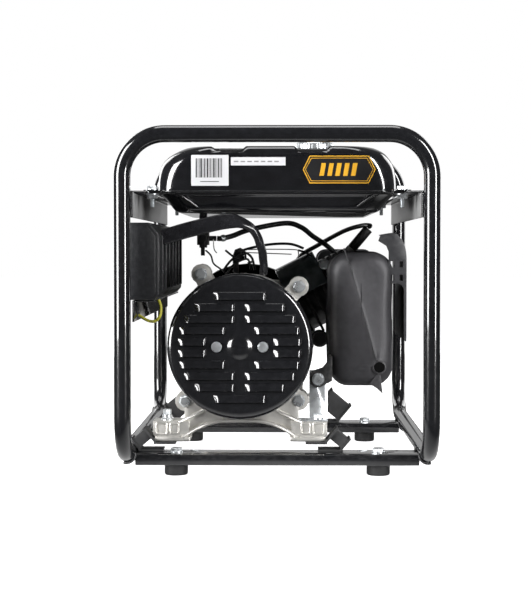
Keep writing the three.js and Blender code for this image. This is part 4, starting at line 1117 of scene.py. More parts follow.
class GENERATOR_OT_exhaust(bpy.types.Operator):
    """The pillowy pressed muffler with its folded seam, outlet, guard, bracket and arm"""

    bl_idname = "generator.exhaust"
    bl_label = "Exhaust"

    def execute(self, context):
        self.muffler()
        self.guard()
        refined("muffler_bracket", "zinc", 0.0005)
        self.arm()
        return {"FINISHED"}

    def arm(self):
        """The black arm, with a tab turned back to meet the muffler's rounded side."""
        outline = ((43, 128), (44.5, 119.5), (51, 114.5), (58, 115), (66, 119), (74, 123.5), (74, 157.5),
                   (61, 142), (46, 137))
        arm = plate([at(x, -189.5, z) for x, z in outline], Vector((0, 2.5 * MM, 0)), 0.0005)
        tab = slab((72, -188.5, 124), (74, -136, 156), 0.0003, 1)
        keep_shell(joined(arm, tab), "muffler_arm_plate", "satin_black", "muffler_arm",
                   ["muffler_arm"], 35)

    def guard(self):
        """The bent heat guard, and its end flange with four square slots."""
        bend = [(178, 174), (178, 230), (178, 290)]
        for i in range(1, 15):
            t = i / 14
            bend.append(((1 - t) ** 2 * 178 + 2 * t * (1 - t) * 177 + t * t * 158,
                         (1 - t) ** 2 * 290 + 2 * t * (1 - t) * 318 + t * t * 324))
        bend.append((152, 323.4))
        inner = []
        for i, (x, z) in enumerate(bend):
            (ax, az), (bx, bz) = bend[max(i - 1, 0)], bend[min(i + 1, len(bend) - 1)]
            run = math.hypot(bx - ax, bz - az)
            inner.append((x - 1.5 * (bz - az) / run, z + 1.5 * (bx - ax) / run))
        wing = plate([at(x, -139.4, z) for x, z in bend + inner[::-1]], Vector((0, 199 * MM, 0)), 0.0004)
        keep_shell(wing, "guard_wing", "guard_grey", "muffler_guard", ["muffler_guard"], 35)
        # The wing's slots are black slabs on its face, painted shade where openings would be.
        slot = slab((-0.1, -9, -1.7), (0.25, 9, 1.7), 0.0002, 1)
        copies("guard_slots", slot, [(at(178, -112 + 31 * i, 200 + 16 * k),)
                                     for i in range(6) for k in range(6)],
               "void_black", "muffler_guard")
        outline = ((138.7, 312.8), (141.5, 321), (148.4, 322.7), (158.1, 324), (165, 322.0), (171.9, 314.2),
                   (176.4, 301.8), (178, 288), (178, 178), (176.6, 174), (174.6, 178), (174.2, 246),
                   (172, 251), (168, 253.5), (156, 254), (153.4, 257), (153, 283.8), (153, 298),
                   (149.8, 306))
        flange = plate([at(x, -140.9, z) for x, z in outline], Vector((0, 1.5 * MM, 0)), 0.0003)
        mesh, cutters = bpy.data.meshes.new("flange"), bpy.data.meshes.new("slots")
        bmesh.ops.recalc_face_normals(flange, faces=flange.faces)
        flange.to_mesh(mesh)
        slots = joined(*[slab((x - 2.4, -146, z - 4.3), (x + 2.4, -134, z + 4.3), 0.0004, 1)
                         for x in (158.4, 170.6) for z in (262, 280.6)])
        slots.to_mesh(cutters)
        flange.free(), slots.free()
        scratch, cutter = scratch_object("flange_scratch", mesh), scratch_object("slot_scratch", cutters)
        cut = scratch.modifiers.new("Slots", "BOOLEAN")
        cut.operation, cut.object, cut.solver = "DIFFERENCE", cutter, "EXACT"
        mesh = baked(scratch)
        bpy.data.objects.remove(cutter)
        keep_piece(mesh, "guard_flange", "guard_grey", "muffler_guard")

    def relief(self, x, z):
        """How far the near face stands out from a flat one, in millimetres."""
        gap = seam_distance(x, z)
        fold = 2.6 * math.exp(-gap / 11.0) + 0.9 * math.exp(-(gap / 0.9) ** 2)
        ring = math.hypot(x - OUTLET[0], z - OUTLET[1])
        turn = math.atan2(z - OUTLET[1], x - OUTLET[0])
        pucker = 1.3 * math.exp(-((ring - 13) / 9) ** 2) * max(0.0, math.cos(3.5 * turn + 1.1)) ** 3
        crease = 1.0 * math.exp(-abs(z - (136.5 + 0.10 * (x - 128))) / 2.6) * soft_step(x, 104, 122) \
            * (1 - soft_step(x, 126, 133))
        lip = 1.6 * math.exp(-((ring - 8.6) / 1.5) ** 2)
        dent = -1.6 * math.exp(-(((x - 84) / 16) ** 2 + ((z - 225) / 36) ** 2)) \
            - 1.2 * math.exp(-(((x - 128) / 22) ** 2 + ((z - 262) / 22) ** 2))
        return fold + pucker + crease + lip + dent

    def muffler(self):
        """The pillowy shell in rings from the near face to the far one, its seam, outlet, tail and pipe."""
        base = rounded_loop((71, 112), (159, 297), 27, 12)
        loop = []
        for i in range(len(base)):
            ax, az = base[i]
            bx, bz = base[(i + 1) % len(base)]
            pieces = max(1, int(math.hypot(bx - ax, bz - az) / 3.0))
            loop += [(ax + (bx - ax) * k / pieces, az + (bz - az) * k / pieces) for k in range(pieces)]
        middle = (115, 204.5)
        wavy = []
        for x, z in loop:
            swell = 1.3 * math.sin((z - 112) / 185 * math.pi * 3 + (0.6 if x < 115 else 2.2))
            wavy.append((x + swell * (0.8 if x < 115 else -0.8) * (1 - abs(z - 204.5) / 120), z))
        shell = bmesh.new()
        rings = []

        def ring(scale_in, y, relief):
            spots = []
            for x, z in wavy:
                dx, dz = x - middle[0], z - middle[1]
                half_x, half_z = 44.0, 92.5
                fx, fz = 1 - scale_in / half_x, 1 - scale_in / half_z
                px, pz = middle[0] + dx * fx, middle[1] + dz * fz
                lift = self.relief(px, pz) * relief
                spots.append(shell.verts.new(at(px, y - lift, pz)))
            return spots

        corner = 17.0
        inner = [43.6 - 1.55 * i for i in range(17)]
        for inset in inner:
            crown = 3.2 * (1 - ((44 - inset) / 44) ** 2)
            rings.append(ring(inset, -145.5 - crown, 1.0))
        for i in range(1, 10):
            turn = math.pi / 2 * i / 9
            inset = corner * (1 - math.sin(turn))
            rings.append(ring(inset, -145.5 - 1.9 + corner * (1 - math.cos(turn)), 1 - i / 9 * 0.999))
        for y in (-110, -85, -65.5, -63.5, -61.5, -59.5, -40, -15):
            rings.append(ring(-1.4 if -64 < y < -60.5 else 0.6 * abs(y + 62.5) / 50, y, 0))
        for i in range(1, 9):
            turn = math.pi / 2 * i / 8
            rings.append(ring(corner * (1 - math.cos(turn)) + 0.6, 8 + corner * math.sin(turn), 0))
        rings.append(ring(30, 25, 0))
        ring_bridge(shell, rings)
        keep_shell(shell, "muffler_shell", "exhaust_grey", "muffler", ["muffler"], 55)
        mouth_y = -145.5 - 5.4
        lip = lathe([(7.0, mouth_y + 6), (7.25, mouth_y - 0.9), (7.9, mouth_y - 1.6), (8.8, mouth_y - 1.3),
                     (9.6, mouth_y - 0.2), (9.8, mouth_y + 6)], at(OUTLET[0], 0, OUTLET[1]), "Y", 40)
        keep_shell(lip, "outlet_lip", "exhaust_grey", "muffler")
        # A black disc inside the outlet is painted shade for the pipe's dark inside.
        dark = lathe([(7.0, mouth_y + 5), (7.1, mouth_y - 1.62), (3, mouth_y - 1.60)],
                     at(OUTLET[0], 0, OUTLET[1]), "Y", 32)
        keep_shell(dark, "outlet_dark", "void_black", "muffler")
        seam = [(x, z) for x, z in SEAM_LINE[1:]]
        ridge = []
        for (ax, az), (bx, bz) in zip(seam, seam[1:]):
            for k in range(8):
                x, z = ax + (bx - ax) * k / 8, az + (bz - az) * k / 8
                ridge.append(at(x, -146.6 - self.relief(x, z) - 1.1
                                * soft_step(min(297 - z, x - 71), 0, 22), z))
        keep_shell(sweep(ridge, circle_section(0.9 * MM, 10)), "muffler_seam", "exhaust_grey", "muffler")
        tail = plate([at(x, -149.6, z) for x, z in ((127, 116), (137, 109.5), (145, 102), (143.6, 113),
                                                    (141.5, 131), (137.5, 130))], Vector((0, 2.2 * MM, 0)),
                                                    0.0004)
        keep_shell(tail, "muffler_tail", "exhaust_grey", "muffler")
        high = 49.7
        pipe = lathe([(8, 18), (15, 18), (15, 42.5), (16.2, 43), (16.2, 44.2), (15, 44.6), (15, high - 0.6),
                      (14.4, high), (12.6, high), (12.5, high - 1), (12.5, 24), (8, 24)],
                     at(101, 0, 245), "Y", 40)
        keep_shell(pipe, "exhaust_pipe", "exhaust_grey", "muffler")


ENGINE_AXIS = (-50, 171)
BANK_Y, BANK_LEAN = 100, math.radians(27)
BANK_TURN = (0, -BANK_LEAN, 0)


def on_bank(x, y, z):
    """A point in metres from millimetres along the leaning cylinder's own axes."""
    return at(ENGINE_AXIS[0] + x * math.cos(BANK_LEAN) - z * math.sin(BANK_LEAN), BANK_Y + y,
              ENGINE_AXIS[1] + x * math.sin(BANK_LEAN) + z * math.cos(BANK_LEAN))


def bank_direction(x, y, z):
    return on_bank(x, y, z) - on_bank(0, 0, 0)


class GENERATOR_OT_engine(bpy.types.Operator):
    """Crankcase, leaning finned cylinder, head with its ribs, shroud, covers and spark plug"""

    bl_idname = "generator.engine"
    bl_label = "Engine"

    def execute(self, context):
        refined("crankcase", "cast_aluminium", 0.0030, 3)
        refined("cylinder", "satin_black", 0.0008)
        refined("cylinder_head", "satin_black", 0.0014)
        refined("valve_cover", "satin_black", 0.0035, 4)
        # The shroud's lighter base colour is a painted reflection on its black paint.
        refined("cylinder_shroud", "shroud_blue_black", 0.0016, 3)
        refined("spark_plug_boot", "rubber", 0.0012)
        refined("oil_dipstick", "grey_plastic", 0.0010)
        rib = slab((-1.5, -4.5, -39), (1.5, 0.6, 39), 0.0010)
        copies("head_ribs", rib, [(on_bank(155 + 8 * i, -50, 4), BANK_TURN, (1, 1, 1)) for i in range(5)],
               "satin_black", "cylinder_head")
        cap_rib = slab((-1.2, -30, -1.2), (1.2, 30, 1.4), 0.0008)
        copies("valve_cover_ribs", cap_rib,
               [(on_bank(198 + 6.5 * i, 0, 26.2), BANK_TURN, (1, 1, 1)) for i in range(4)],
               "satin_black", "valve_cover")
        self.case_details()
        return {"FINISHED"}

    def case_details(self):
        """Webs, drain plug, and the round stub beside the head with its rim and holder."""
        low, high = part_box("crankcase")
        rib = slab((-1.4, -56, -1.4), (1.4, 56, 1.4), 0.0008)
        places = [((Vector((low.x + 0.0006, (low.y + high.y) / 2, low.z + (28 + 26 * i) * MM))), (0, 0, 0),
                   (1.6, 1, 1)) for i in range(6)]
        copies("crankcase_webs", rib, places, "cast_aluminium", "crankcase")
        stub = lathe([(4, 27), (11.2, 27), (12.4, 27.8), (13, 29.4), (13, 34), (11.8, 35), (11.8, 60),
                      (4, 60)],
                     at(62, 0, 168), "Y", 40)
        keep_shell(stub, "side_stub", "satin_black", "valve_cover")
        hollow = lathe([(9.4, 26.9), (9.6, 26.4), (10.8, 26.4), (11.2, 27.4), (9.4, 27.8)], at(62, 0, 168),
                       "Y", 40)
        keep_shell(hollow, "side_stub_rim", "satin_black", "valve_cover")
        holder = slab((40, 42, 158), (56, 62, 178), 0.002)
        keep_shell(holder, "side_stub_holder", "cast_aluminium", "crankcase")
        plug = hex_head(14, 8, 10)
        copies("drain_plug", plug, [(at(-122.4, 62, 80), facing((-1, 0, 0)), (1, 1, 1))], "zinc",
               "crankcase")


class GENERATOR_OT_intake(bpy.types.Operator):
    """Carburettor with its choke lever, and the air filter's base and cover"""

    bl_idname = "generator.intake"
    bl_label = "Carburettor and Air Filter"

    def execute(self, context):
        refined("carburettor", "cast_aluminium", 0.0014)
        refined("choke_lever", "grey_plastic", 0.0008)
        refined("air_filter_base", "black_plastic", 0.0016)
        refined("air_filter_cover", "black_plastic", 0.0050, 5, 50)
        low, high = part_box("air_filter_cover")
        rib = slab((-34, -0.4, -1.1), (34, 1.2, 1.1), 0.0007)
        places = [(Vector(((low.x + high.x) / 2, high.y - 0.0005, low.z + (26 + 9 * i) * MM)),)
                  for i in range(7)]
        copies("filter_cover_ribs", rib, places, "black_plastic", "air_filter_cover")
        clip = slab((-3, -9, -7), (1.2, 5, 7), 0.001)
        copies("filter_clips", clip, [(Vector((low.x - 0.0002, low.y + 0.006, (low.z + high.z) / 2)),
                                       (0, 0, 0), (0.8, 1, 1))], "zinc", "air_filter_cover")
        return {"FINISHED"}


class GENERATOR_OT_recoil(bpy.types.Operator):
    """Fan housing, recoil starter cover and its pull handle"""

    bl_idname = "generator.recoil"
    bl_label = "Recoil Starter"

    def execute(self, context):
        refined("fan_housing", "tank_black", 0.0014)
        refined("recoil_cover", "tank_black", 0.0012)
        refined("recoil_handle", "rubber", 0.0035, 4, 40)
        low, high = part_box("recoil_handle")
        groove = slab((-1.0, -6, -0.9), (1.0, 6, 0.9), 0.0005)
        places = [(Vector(((low.x + high.x) / 2 + x * MM, (low.y + high.y) / 2, high.z - 0.0001)),)
                  for x in (-30, -24, -18, 18, 24, 30)]
        copies("handle_ridges", groove, places, "rubber", "recoil_handle")
        slot = slab((-1.6, -0.5, -9), (1.6, 0.9, 9), 0.0006)
        ring = []
        for i in range(36):
            turn = 2 * math.pi * i / 36
            ring.append((at(ENGINE_AXIS[0] + 97 * math.cos(turn), 228,
                            ENGINE_AXIS[1] + 97 * math.sin(turn)),
                         (0, math.pi / 2 - turn, 0), (1, 1, 0.75)))
        copies("fan_ring_ribs", slot, ring, "tank_black", "fan_housing")
        return {"FINISHED"}


class GENERATOR_OT_fuel_fittings(bpy.types.Operator):
    """Fuel cap with its grip, and the fuel tap with its lever"""

    bl_idname = "generator.fuel_fittings"
    bl_label = "Fuel Cap and Tap"

    def execute(self, context):
        low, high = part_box("fuel_cap")
        middle = (low + high) / 2
        r, base, top = (high.x - low.x) / 2 / MM, low.z / MM, high.z / MM

        def grip(turn, radius, along):
            side = soft_step(radius, r - 2.4, r - 0.6) * soft_step(along, base + 1, base + 3)
            return -0.55 * side * (0.5 + 0.5 * math.cos(36 * turn))
        cap = lathe([(24.4, base + 4), (24.6, base + 0.6), (25.4, base), (r - 0.8, base), (r, base + 1.2),
                     (r, top - 5.2), (r - 0.8, top - 3.4), (r - 3.2, top - 1.8), (r - 8, top - 0.6),
                     (r - 14, top - 0.2), (r - 14.6, top - 1.0), (8, top - 1.2), (7.2, top - 0.4),
                     (1, top)],
                    Vector((middle.x, middle.y, 0)), "Z", 216, grip)
        keep_shell(cap, "fuel_cap_shape", "zinc", "fuel_cap", ["fuel_cap"], 35)
        refined("fuel_tap", "satin_black", 0.0010)
        refined("tap_lever", "black_plastic", 0.0008)
        return {"FINISHED"}


PANEL_FACE, METER_Y, METER_Z = -206, 12, 288


class GENERATOR_OT_control_box(bpy.types.Operator):
    """Control box with ribs, its panel, sockets with lids, meter, switch and breaker"""

    bl_idname = "generator.control_box"
    bl_label = "Control Box"

    def execute(self, context):
        refined("control_box", "black_plastic", 0.0020, 3)
        refined("control_panel", "grey_plastic", 0.0011)
        for node in ("socket_lid_1", "socket_lid_2"):
            refined(node, "black_plastic", 0.0007)
        refined("breaker_button", "red_plastic", 0.0008)
        refined("engine_switch", "red_plastic", 0.0007)
        low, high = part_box("control_box")
        count = sizes().rib_count
        rib = slab((-0.6, -1.6, -38), (3.4, 1.6, 34), 0.0010)
        places = [(Vector((high.x, low.y + 0.026 + i * (high.y - low.y - 0.06) / (count - 1),
                           (low.z + high.z) / 2)),) for i in range(count)]
        copies("box_ribs", rib, places, "black_plastic", "control_box")
        left, front, bottom = low / MM
        right, top = high.x / MM, high.z / MM
        inset = 4.5
        outline = [(left + inset + 4, bottom + inset), (right - 8, bottom + inset),
                   (right - inset, bottom + 9), (right - inset, top - 18), (right - 15, top - inset),
                   (left + inset + 4, top - inset)]
        end_panel = plate([at(x, front + 0.4, z) for x, z in outline], Vector((0, -1.2 * MM, 0)), 0.0006)
        keep_shell(end_panel, "box_end_panel", "black_plastic", "control_box")
        self.panel_face()
        return {"FINISHED"}

    def panel_face(self):
        """Lid ridges, the voltmeter with its marks and pointer, and the panel's screws."""
        for node in ("socket_lid_1", "socket_lid_2"):
            spot = node_middle(node)
            ridge = slab((-0.5, -9, -0.9), (0.35, 9, 0.9), 0.0003)
            copies(node + "_ridges", ridge,
                   [(Vector((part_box(node)[0].x, spot.y, spot.z + dz * MM)),) for dz in (-12, -7)],
                   "black_plastic", node)
        meter = lathe([(2, -208.2), (22.4, -208.2), (22.8, -207.9), (22.8, -207.2), (2, -207.2)],
                      at(0, METER_Y, METER_Z), "X", 48)
        keep_shell(meter, "meter_face", "label_white", "control_panel")
        marks = slab((-0.3, -0.35, -1.8), (0.1, 0.35, 1.8), 0)
        fan = []
        for i in range(11):
            turn = math.radians(-60 + 12 * i)
            fan.append((at(-208.25, METER_Y + 16 * math.sin(turn), METER_Z - 4 + 16 * math.cos(turn)),
                        (-turn, 0, 0), (1, 1, 1)))
        fan.append((at(-208.3, METER_Y + 3.5, METER_Z + 2), (-math.radians(25), 0, 0), (1, 0.9, 4.6)))
        copies("meter_marks", marks, fan, "label_ink", "control_panel")
        screws = [(at(PANEL_FACE, y, z), facing((-1, 0, 0)), (0.8, 0.8, 0.7)) for y in (-254, -152, 50, 146)
                  for z in (245, 330)]
        copies("panel_screws", pan_head(), screws, "zinc", "control_panel")


# ---- Cables, as routes in millimetres ----
SLEEVE_ROUTE = ((-153.4, -214, 318), (-146, -214, 319), (-126, -213, 325), (-103, -212, 331),
                (-72, -211, 338), (-52, -208, 338), (-33, -203, 328), (-23, -197, 308), (-19, -188, 288),
                (-18.5, -178, 268.5))
HOSE_ROUTE = ((-93, 60, 318), (-86, 60.5, 318), (-70, 70, 322), (-43, 90, 332), (10, 115, 342),
              (35, 132, 336), (54, 148, 322), (75, 156, 308), (91, 161, 292), (95.5, 162, 271))
SPARK_ROUTE = ((138.5, 75, 336), (139.5, 88, 338), (128, 115, 338), (102, 146, 330), (62, 178, 308),
               (34, 196, 290), (22, 200, 262))
EARTH_ROUTE = ((-156, -238, 234.7), (-153, -240, 226), (-154, -241, 214), (-160, -240, 207),
               (-170, -235, 207), (-183.5, -228, 214))


class GENERATOR_OT_cables(bpy.types.Operator):
    """Flat output sleeve, fuel hose, spark lead, earth wire, thin cables, ties and governor rods"""

    bl_idname = "generator.cables"
    bl_label = "Cables and Hoses"

    def execute(self, context):
        self.sleeve()
        for node, route, radius in (("fuel_hose", HOSE_ROUTE, 4), ("spark_lead", SPARK_ROUTE, 3.5),
                                    ("earth_wire", EARTH_ROUTE, 2)):
            material = "earth_green" if node == "earth_wire" else "cable_black"
            keep_shell(wire(route, radius, 20, 10), node + "_shape", material, node, [node], 60)
        thin = [wire(points, radius, 10) for points, radius in (
            (((-64, 62, 296), (-44, 60, 303), (-12, 60, 309), (18, 62, 309.5), (38, 66, 303)), 2.0),
            (((-80, 50, 300), (-70, 48, 292), (-60, 52, 286), (-52, 60, 290)), 1.6),
            (((-84, 46, 268), (-74, 48, 282), (-62, 50, 292), (-50, 54, 296), (-40, 60, 288),
              (-36, 64, 270)), 1.8),
            (((-78, 44, 264), (-70, 47, 276), (-58, 50, 284), (-46, 56, 286), (-42, 62, 270)), 1.6),
            (((-110, 52, 300), (-102, 50, 292), (-98, 52, 280), (-88, 54, 272), (-76, 52, 262)), 1.3),
            (((30, 60, 300), (40, 58, 297), (52, 60, 290), (58, 66, 280)), 1.6))]
        keep_shell(joined(*thin), "thin_cables", "cable_black", "fuel_hose", smooth=60,
                   merge=FINE_MERGE_GAP)
        rods = [wire(points, 0.8, 8, 4) for points in (
            ((-48, 66, 301), (-20, 66, 301.6), (24, 66, 301), (30, 66, 298), (30, 66, 288)),
            ((-58, 58, 298), (-54, 58, 297), (-46, 66, 296.5), (20, 66, 294)),
            ((-98, 48, 316), (-97, 48, 302), (-93, 47, 296)))]
        keep_shell(joined(*rods), "governor_rods", "steel", "carburettor", smooth=60, merge=FINE_MERGE_GAP)
        tie = lathe([(3.4, -1.5), (5.0, -1.5), (5.3, -1.2), (5.3, 1.2), (5.0, 1.5), (3.4, 1.5)], Vector(),
                    "X", 20)
        places = [(at(-66, 50, 288), (0, -0.6, 0), (1, 1, 1)), (at(-50, 54, 293), (0, -0.1, 0), (1, 1, 1)),
                  (at(-42, 61, 282), (0, 1.2, 0.2), (1, 1, 1))]
        copies("cable_ties", tie, places, "black_plastic", "fuel_hose")
        clamp = lathe([(3.4, -3), (4.9, -3), (5.2, -2.6), (5.2, 2.6), (4.9, 3), (3.4, 3)], Vector(), "X",
                      24)
        copies("hose_clamps", clamp, [(at(-84, 61.5, 318.4), (0, -0.2, 0.3), (1, 1, 1)),
                                      (at(94.8, 161.9, 277), (0, 1.45, 0), (1, 1, 1))],
               "zinc", "fuel_hose")
        corners = ((-70, 290), (-66, 301), (-58, 304), (-50, 300), (-52, 292), (-60, 286), (-60, 266),
                   (-68, 266))
        arm = plate([at(x, 57, z) for x, z in corners], Vector((0, 2 * MM, 0)), 0.0004)
        keep_shell(arm, "governor_arm", "satin_black", "carburettor")
        return {"FINISHED"}

    def sleeve(self):
        """A flat sleeve that turns on edge and narrows where it enters the alternator."""
        wide, line = sizes().sleeve_width / 2, smooth_line([Vector(p) * MM for p in SLEEVE_ROUTE], 10)

        def section(share):
            narrow = soft_step(share, 0.52, 0.70)
            a = wide * (1 - narrow) + 0.0064 * narrow
            b = 0.0042 * (1 - narrow) + 0.0054 * narrow
            twist = -0.9 * soft_step(share, 0.40, 0.66)
            spots = []
            for i in range(32):
                turn = 2 * math.pi * i / 32
                c, s = math.cos(turn), math.sin(turn)
                u = a * math.copysign(abs(c) ** 0.85, c)
                v = b * math.copysign(abs(s) ** 0.95, s) * (1 + 0.06 * math.sin(share * 60 + c * 3))
                spots.append((u * math.cos(twist) - v * math.sin(twist),
                              u * math.sin(twist) + v * math.cos(twist)))
            return spots
        keep_shell(sweep(line, section, (0, 0, 1)), "output_sleeve_shape", "sleeve_black", "output_sleeve",
                   ["output_sleeve"], 60)


class GENERATOR_OT_fasteners(bpy.types.Operator):
    """Zinc bolts, nuts, studs and screws that hold the set together"""

    bl_idname = "generator.fasteners"
    bl_label = "Fasteners"

    def execute(self, context):
        towards, up, down = facing((0, -1, 0), 0.2), facing((0, 0, 1), 0.3), facing((0, 0, -1), 0.1)
        ax, az = COVER_CENTRE.x / MM, COVER_CENTRE.z / MM
        bolts = [(at(ax + x, EAR_FRONT, az + z), towards, (1, 1, 1)) for x, z in EAR_OFFSETS]
        bolts += [(at(ax + side * COVER_SCREW_OFFSET, -215, az), towards, (0.85, 0.85, 0.9))
                  for side in (-1, 1)]
        bolts += [(at(55, -189.5, 126), towards, (1, 1, 1)), (at(55, -194, 72.8), up, (0.9, 0.9, 1.3)),
                  (at(69, 44, 279), towards, (0.95, 0.95, 1.2))]
        bolts += [(at(side * TANK_BOLT_X, y, 379.5), up, (1, 1, 1)) for side in (-1, 1)
                  for y in TANK_BOLTS_Y]
        bolts += [(at(side * TANK_BOLT_X, y, 374.5), down, (1, 1, 1.2)) for side in (-1, 1)
                  for y in TANK_BOLTS_Y]
        bolts += [(at(side * 135, y, 30), up, (1.05, 1.05, 1.15)) for side in (-1, 1) for y in CHANNELS_Y]
        bolts += [(at(-149.5, -182, 70), up, (0.95, 0.95, 1.2)),
                  (at(-149.5, -182, 74), up, (0.8, 0.8, 1.9))]
        bolts += [(on_bank(224, y, z), facing(bank_direction(1, 0, 0)), (0.7, 0.7, 0.7))
                  for y in (-32, 32) for z in (-36, 18)]
        copies("zinc_bolts", hex_head(sizes().bolt_flats / MM), bolts, "zinc", "muffler_bracket")
        profile = [(1.6, 0.0)]
        for i in range(14):
            profile += [(2.6, 0.2 + i * 1.0), (3.0, 0.7 + i * 1.0)]
        profile.append((1.6, 14.6))
        stud = lathe(profile, Vector(), "Z", 16)
        copies("studs", stud, [(at(side * TANK_BOLT_X, y, 371), down, (1, 1, 1)) for side in (-1, 1)
                               for y in TANK_BOLTS_Y],
               "zinc", "muffler_bracket", smooth=20)
        screws = []
        for i in range(4):
            turn = math.radians(45 + 90 * i)
            screws.append((at(ENGINE_AXIS[0] + 101 * math.cos(turn), 228,
                              ENGINE_AXIS[1] + 101 * math.sin(turn)),
                           facing((0, 1, 0)), (1, 1, 1)))
        screws += [(at(-122, y, z), facing((-1, 0, 0)), (1, 1, 1)) for y in (50, 155) for z in (90, 240)]
        copies("engine_screws", pan_head(4.4, 3.0), screws, "zinc", "muffler_bracket")
        return {"FINISHED"}


# ---- Stage ----
FLOOR_CORNERS = ((-9, -4, 0), (9, -4, 0), (9, 14, 0), (-9, 14, 0))
FLOOR_GLOW = 0.97  # so that the ground is as pale as the background to the camera
FLOOR_REACH = (0.27, 0.42)  # metres from the middle over which reflections of the ground fade out
UNLIT_FLOOR = (0.05, 0.05, 0.05)
AMBIENT, BACKDROP = 0.055, 0.36  # world strength in reflections, all round and added behind the set
LIGHTS = (  # name, place, aim, width, height and power
    ("left_softbox", (-2.1, -1.5, 0.9), (-0.1, 0, 0.22), 1.05, 2.1, 125),
    ("right_strip", (1.75, -1.9, 0.9), (0.1, 0, 0.22), 0.34, 2.1, 80),
    ("left_back", (-1.3, 1.5, 0.8), (0, 0, 0.2), 0.9, 1.8, 15),
    ("right_back", (1.5, 1.5, 0.8), (0, 0, 0.2), 0.9, 1.8, 15),
    ("top_soft", (0.0, 0.1, 2.3), (0, 0.0, 0.2), 1.3, 1.0, 14),
)
CAMERA_PLACE, CAMERA_WAY, CAMERA_LENS = (0.013, -2.175, 0.299), (-0.0146, 1, -0.0333), 88.4


class GENERATOR_OT_stage(bpy.types.Operator):
    """Pale floor, soft studio lights and the camera"""

    bl_idname = "generator.stage"
    bl_label = "Stage"

    def execute(self, context):
        scene = bpy.context.scene
        floor_mesh = bpy.data.meshes.new("floor")
        floor_mesh.from_pydata(FLOOR_CORNERS, [], [(0, 1, 2, 3)])
        paper = finish_material("floor_paper", tuple(colours().floor), 0.7, blotch=0.01, dust=0.0,
                                bump=0.02, specular=0.05)
        shader = paper.node_tree.nodes["Principled BSDF"]
        shader.inputs["Emission Color"].default_value = (1, 1, 1, 1)
        tree = paper.node_tree
        seen = add(tree, "ShaderNodeLightPath").outputs["Is Camera Ray"]
        tree.links.new(math_node(tree, "MULTIPLY", seen, FLOOR_GLOW), shader.inputs["Emission Strength"])
        reach = add(tree, "ShaderNodeVectorMath", {0: add(tree, "ShaderNodeTexCoord").outputs["Object"]},
                    operation="LENGTH").outputs["Value"]
        lit = math_node(tree, "MAXIMUM", seen, math_node(tree, "SUBTRACT", 1.0,
                                                         ramp(tree, reach, *FLOOR_REACH)))
        tree.links.new(mix_colour(tree, lit, UNLIT_FLOOR, tuple(colours().floor)),
                       shader.inputs["Base Color"])
        floor_mesh.materials.append(paper)
        floor = bpy.data.objects.new("floor", floor_mesh)
        scene.collection.objects.link(floor)
        world = bpy.data.worlds.new("studio")
        scene.world = world
        world.use_nodes = True
        background = world.node_tree.nodes["Background"]
        background.inputs["Color"].default_value = (1, 1, 1, 1)
        tree = world.node_tree
        seen = add(tree, "ShaderNodeLightPath").outputs["Is Camera Ray"]
        way = add(tree, "ShaderNodeSeparateXYZ", {0: add(tree, "ShaderNodeTexCoord").outputs["Generated"]})
        backdrop = math_node(tree, "MULTIPLY", ramp(tree, way.outputs["Y"], 0.82, 0.97), BACKDROP)
        around = math_node(tree, "ADD", backdrop, AMBIENT)
        tree.links.new(math_node(tree, "MAXIMUM", seen, around), background.inputs["Strength"])
        for row in LIGHTS:
            self.light(*row)
        camera = bpy.data.cameras.new("camera")
        camera.lens, camera.sensor_width, camera.sensor_fit = CAMERA_LENS, 36, "AUTO"
        eye = bpy.data.objects.new("camera", camera)
        scene.collection.objects.link(eye)
        eye.location = CAMERA_PLACE
        eye.rotation_euler = Vector(CAMERA_WAY).to_track_quat("-Z", "Y").to_euler()
        scene.camera = eye
        scene.view_settings.view_transform = "Standard"
        return {"FINISHED"}

    def light(self, name, place, aim, width, height, power):
        lamp = bpy.data.lights.new(name, "AREA")
        lamp.shape, lamp.size, lamp.size_y, lamp.energy = "RECTANGLE", width, height, power
        holder = bpy.data.objects.new(name, lamp)
        bpy.context.scene.collection.objects.link(holder)
        holder.location = place
        holder.rotation_euler = (Vector(aim) - Vector(place)).to_track_quat("-Z", "Y").to_euler()


class GENERATOR_OT_plain_nodes(bpy.types.Operator):
    """Finishes for the CAD shapes that stay showing"""

    bl_idname = "generator.plain_nodes"
    bl_label = "Hidden Works"

    def execute(self, context):
        for node, thing in NODES.items():
            if not thing.hide_render:
                painted(node, SLOT_FINISH[SLOT_OF[node]])
        return {"FINISHED"}


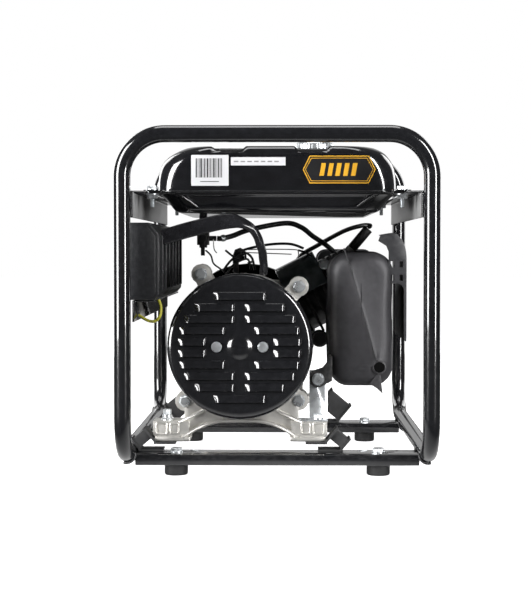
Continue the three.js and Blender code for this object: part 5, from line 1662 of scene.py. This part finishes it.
SLOT_FINISH = {"frame_paint": "gloss_black", "channel_paint": "satin_black", "tank_paint": "tank_black",
               "black_plastic": "black_plastic", "grey_plastic": "grey_plastic",
               "red_plastic": "red_plastic", "rubber": "rubber", "cast_aluminium": "cast_aluminium",
               "zinc": "zinc", "steel": "steel", "lamination": "lamination",
               "exhaust_paint": "exhaust_grey", "cable_jacket": "cable_black",
               "earth_jacket": "earth_green"}

PIECES = (GENERATOR_OT_cradle, GENERATOR_OT_sheet_metal, GENERATOR_OT_feet, GENERATOR_OT_tank,
          GENERATOR_OT_labels, GENERATOR_OT_alternator, GENERATOR_OT_exhaust, GENERATOR_OT_engine,
          GENERATOR_OT_intake, GENERATOR_OT_recoil, GENERATOR_OT_fuel_fittings, GENERATOR_OT_control_box,
          GENERATOR_OT_cables, GENERATOR_OT_fasteners, GENERATOR_OT_plain_nodes, GENERATOR_OT_stage)


class GENERATOR_PT_panel(bpy.types.Panel):
    """Lists the sizes, the colours and the pieces"""

    bl_idname = "GENERATOR_PT_panel"
    bl_label = "Portable Generator"
    bl_space_type = "VIEW_3D"
    bl_region_type = "UI"
    bl_category = "Generator"

    def draw(self, context):
        for group in (context.scene.generator_sizes, context.scene.generator_colours):
            box = self.layout.box()
            for name in group.bl_rna.properties.keys():
                if name not in ("rna_type", "name"):
                    box.prop(group, name)
        for piece in PIECES:
            self.layout.operator(piece.bl_idname)


CLASSES = (GeneratorSizes, GeneratorColours, *PIECES, GENERATOR_PT_panel)


def register():
    for cls in CLASSES:
        bpy.utils.register_class(cls)
    bpy.types.Scene.generator_sizes = PointerProperty(type=GeneratorSizes)
    bpy.types.Scene.generator_colours = PointerProperty(type=GeneratorColours)


def unregister():
    del bpy.types.Scene.generator_sizes
    del bpy.types.Scene.generator_colours
    for cls in reversed(CLASSES):
        bpy.utils.unregister_class(cls)


def main():
    register()
    make_finishes()
    for piece in PIECES:
        group, name = piece.bl_idname.split(".")
        getattr(getattr(bpy.ops, group), name)()


if __name__ == "__main__":
    main()
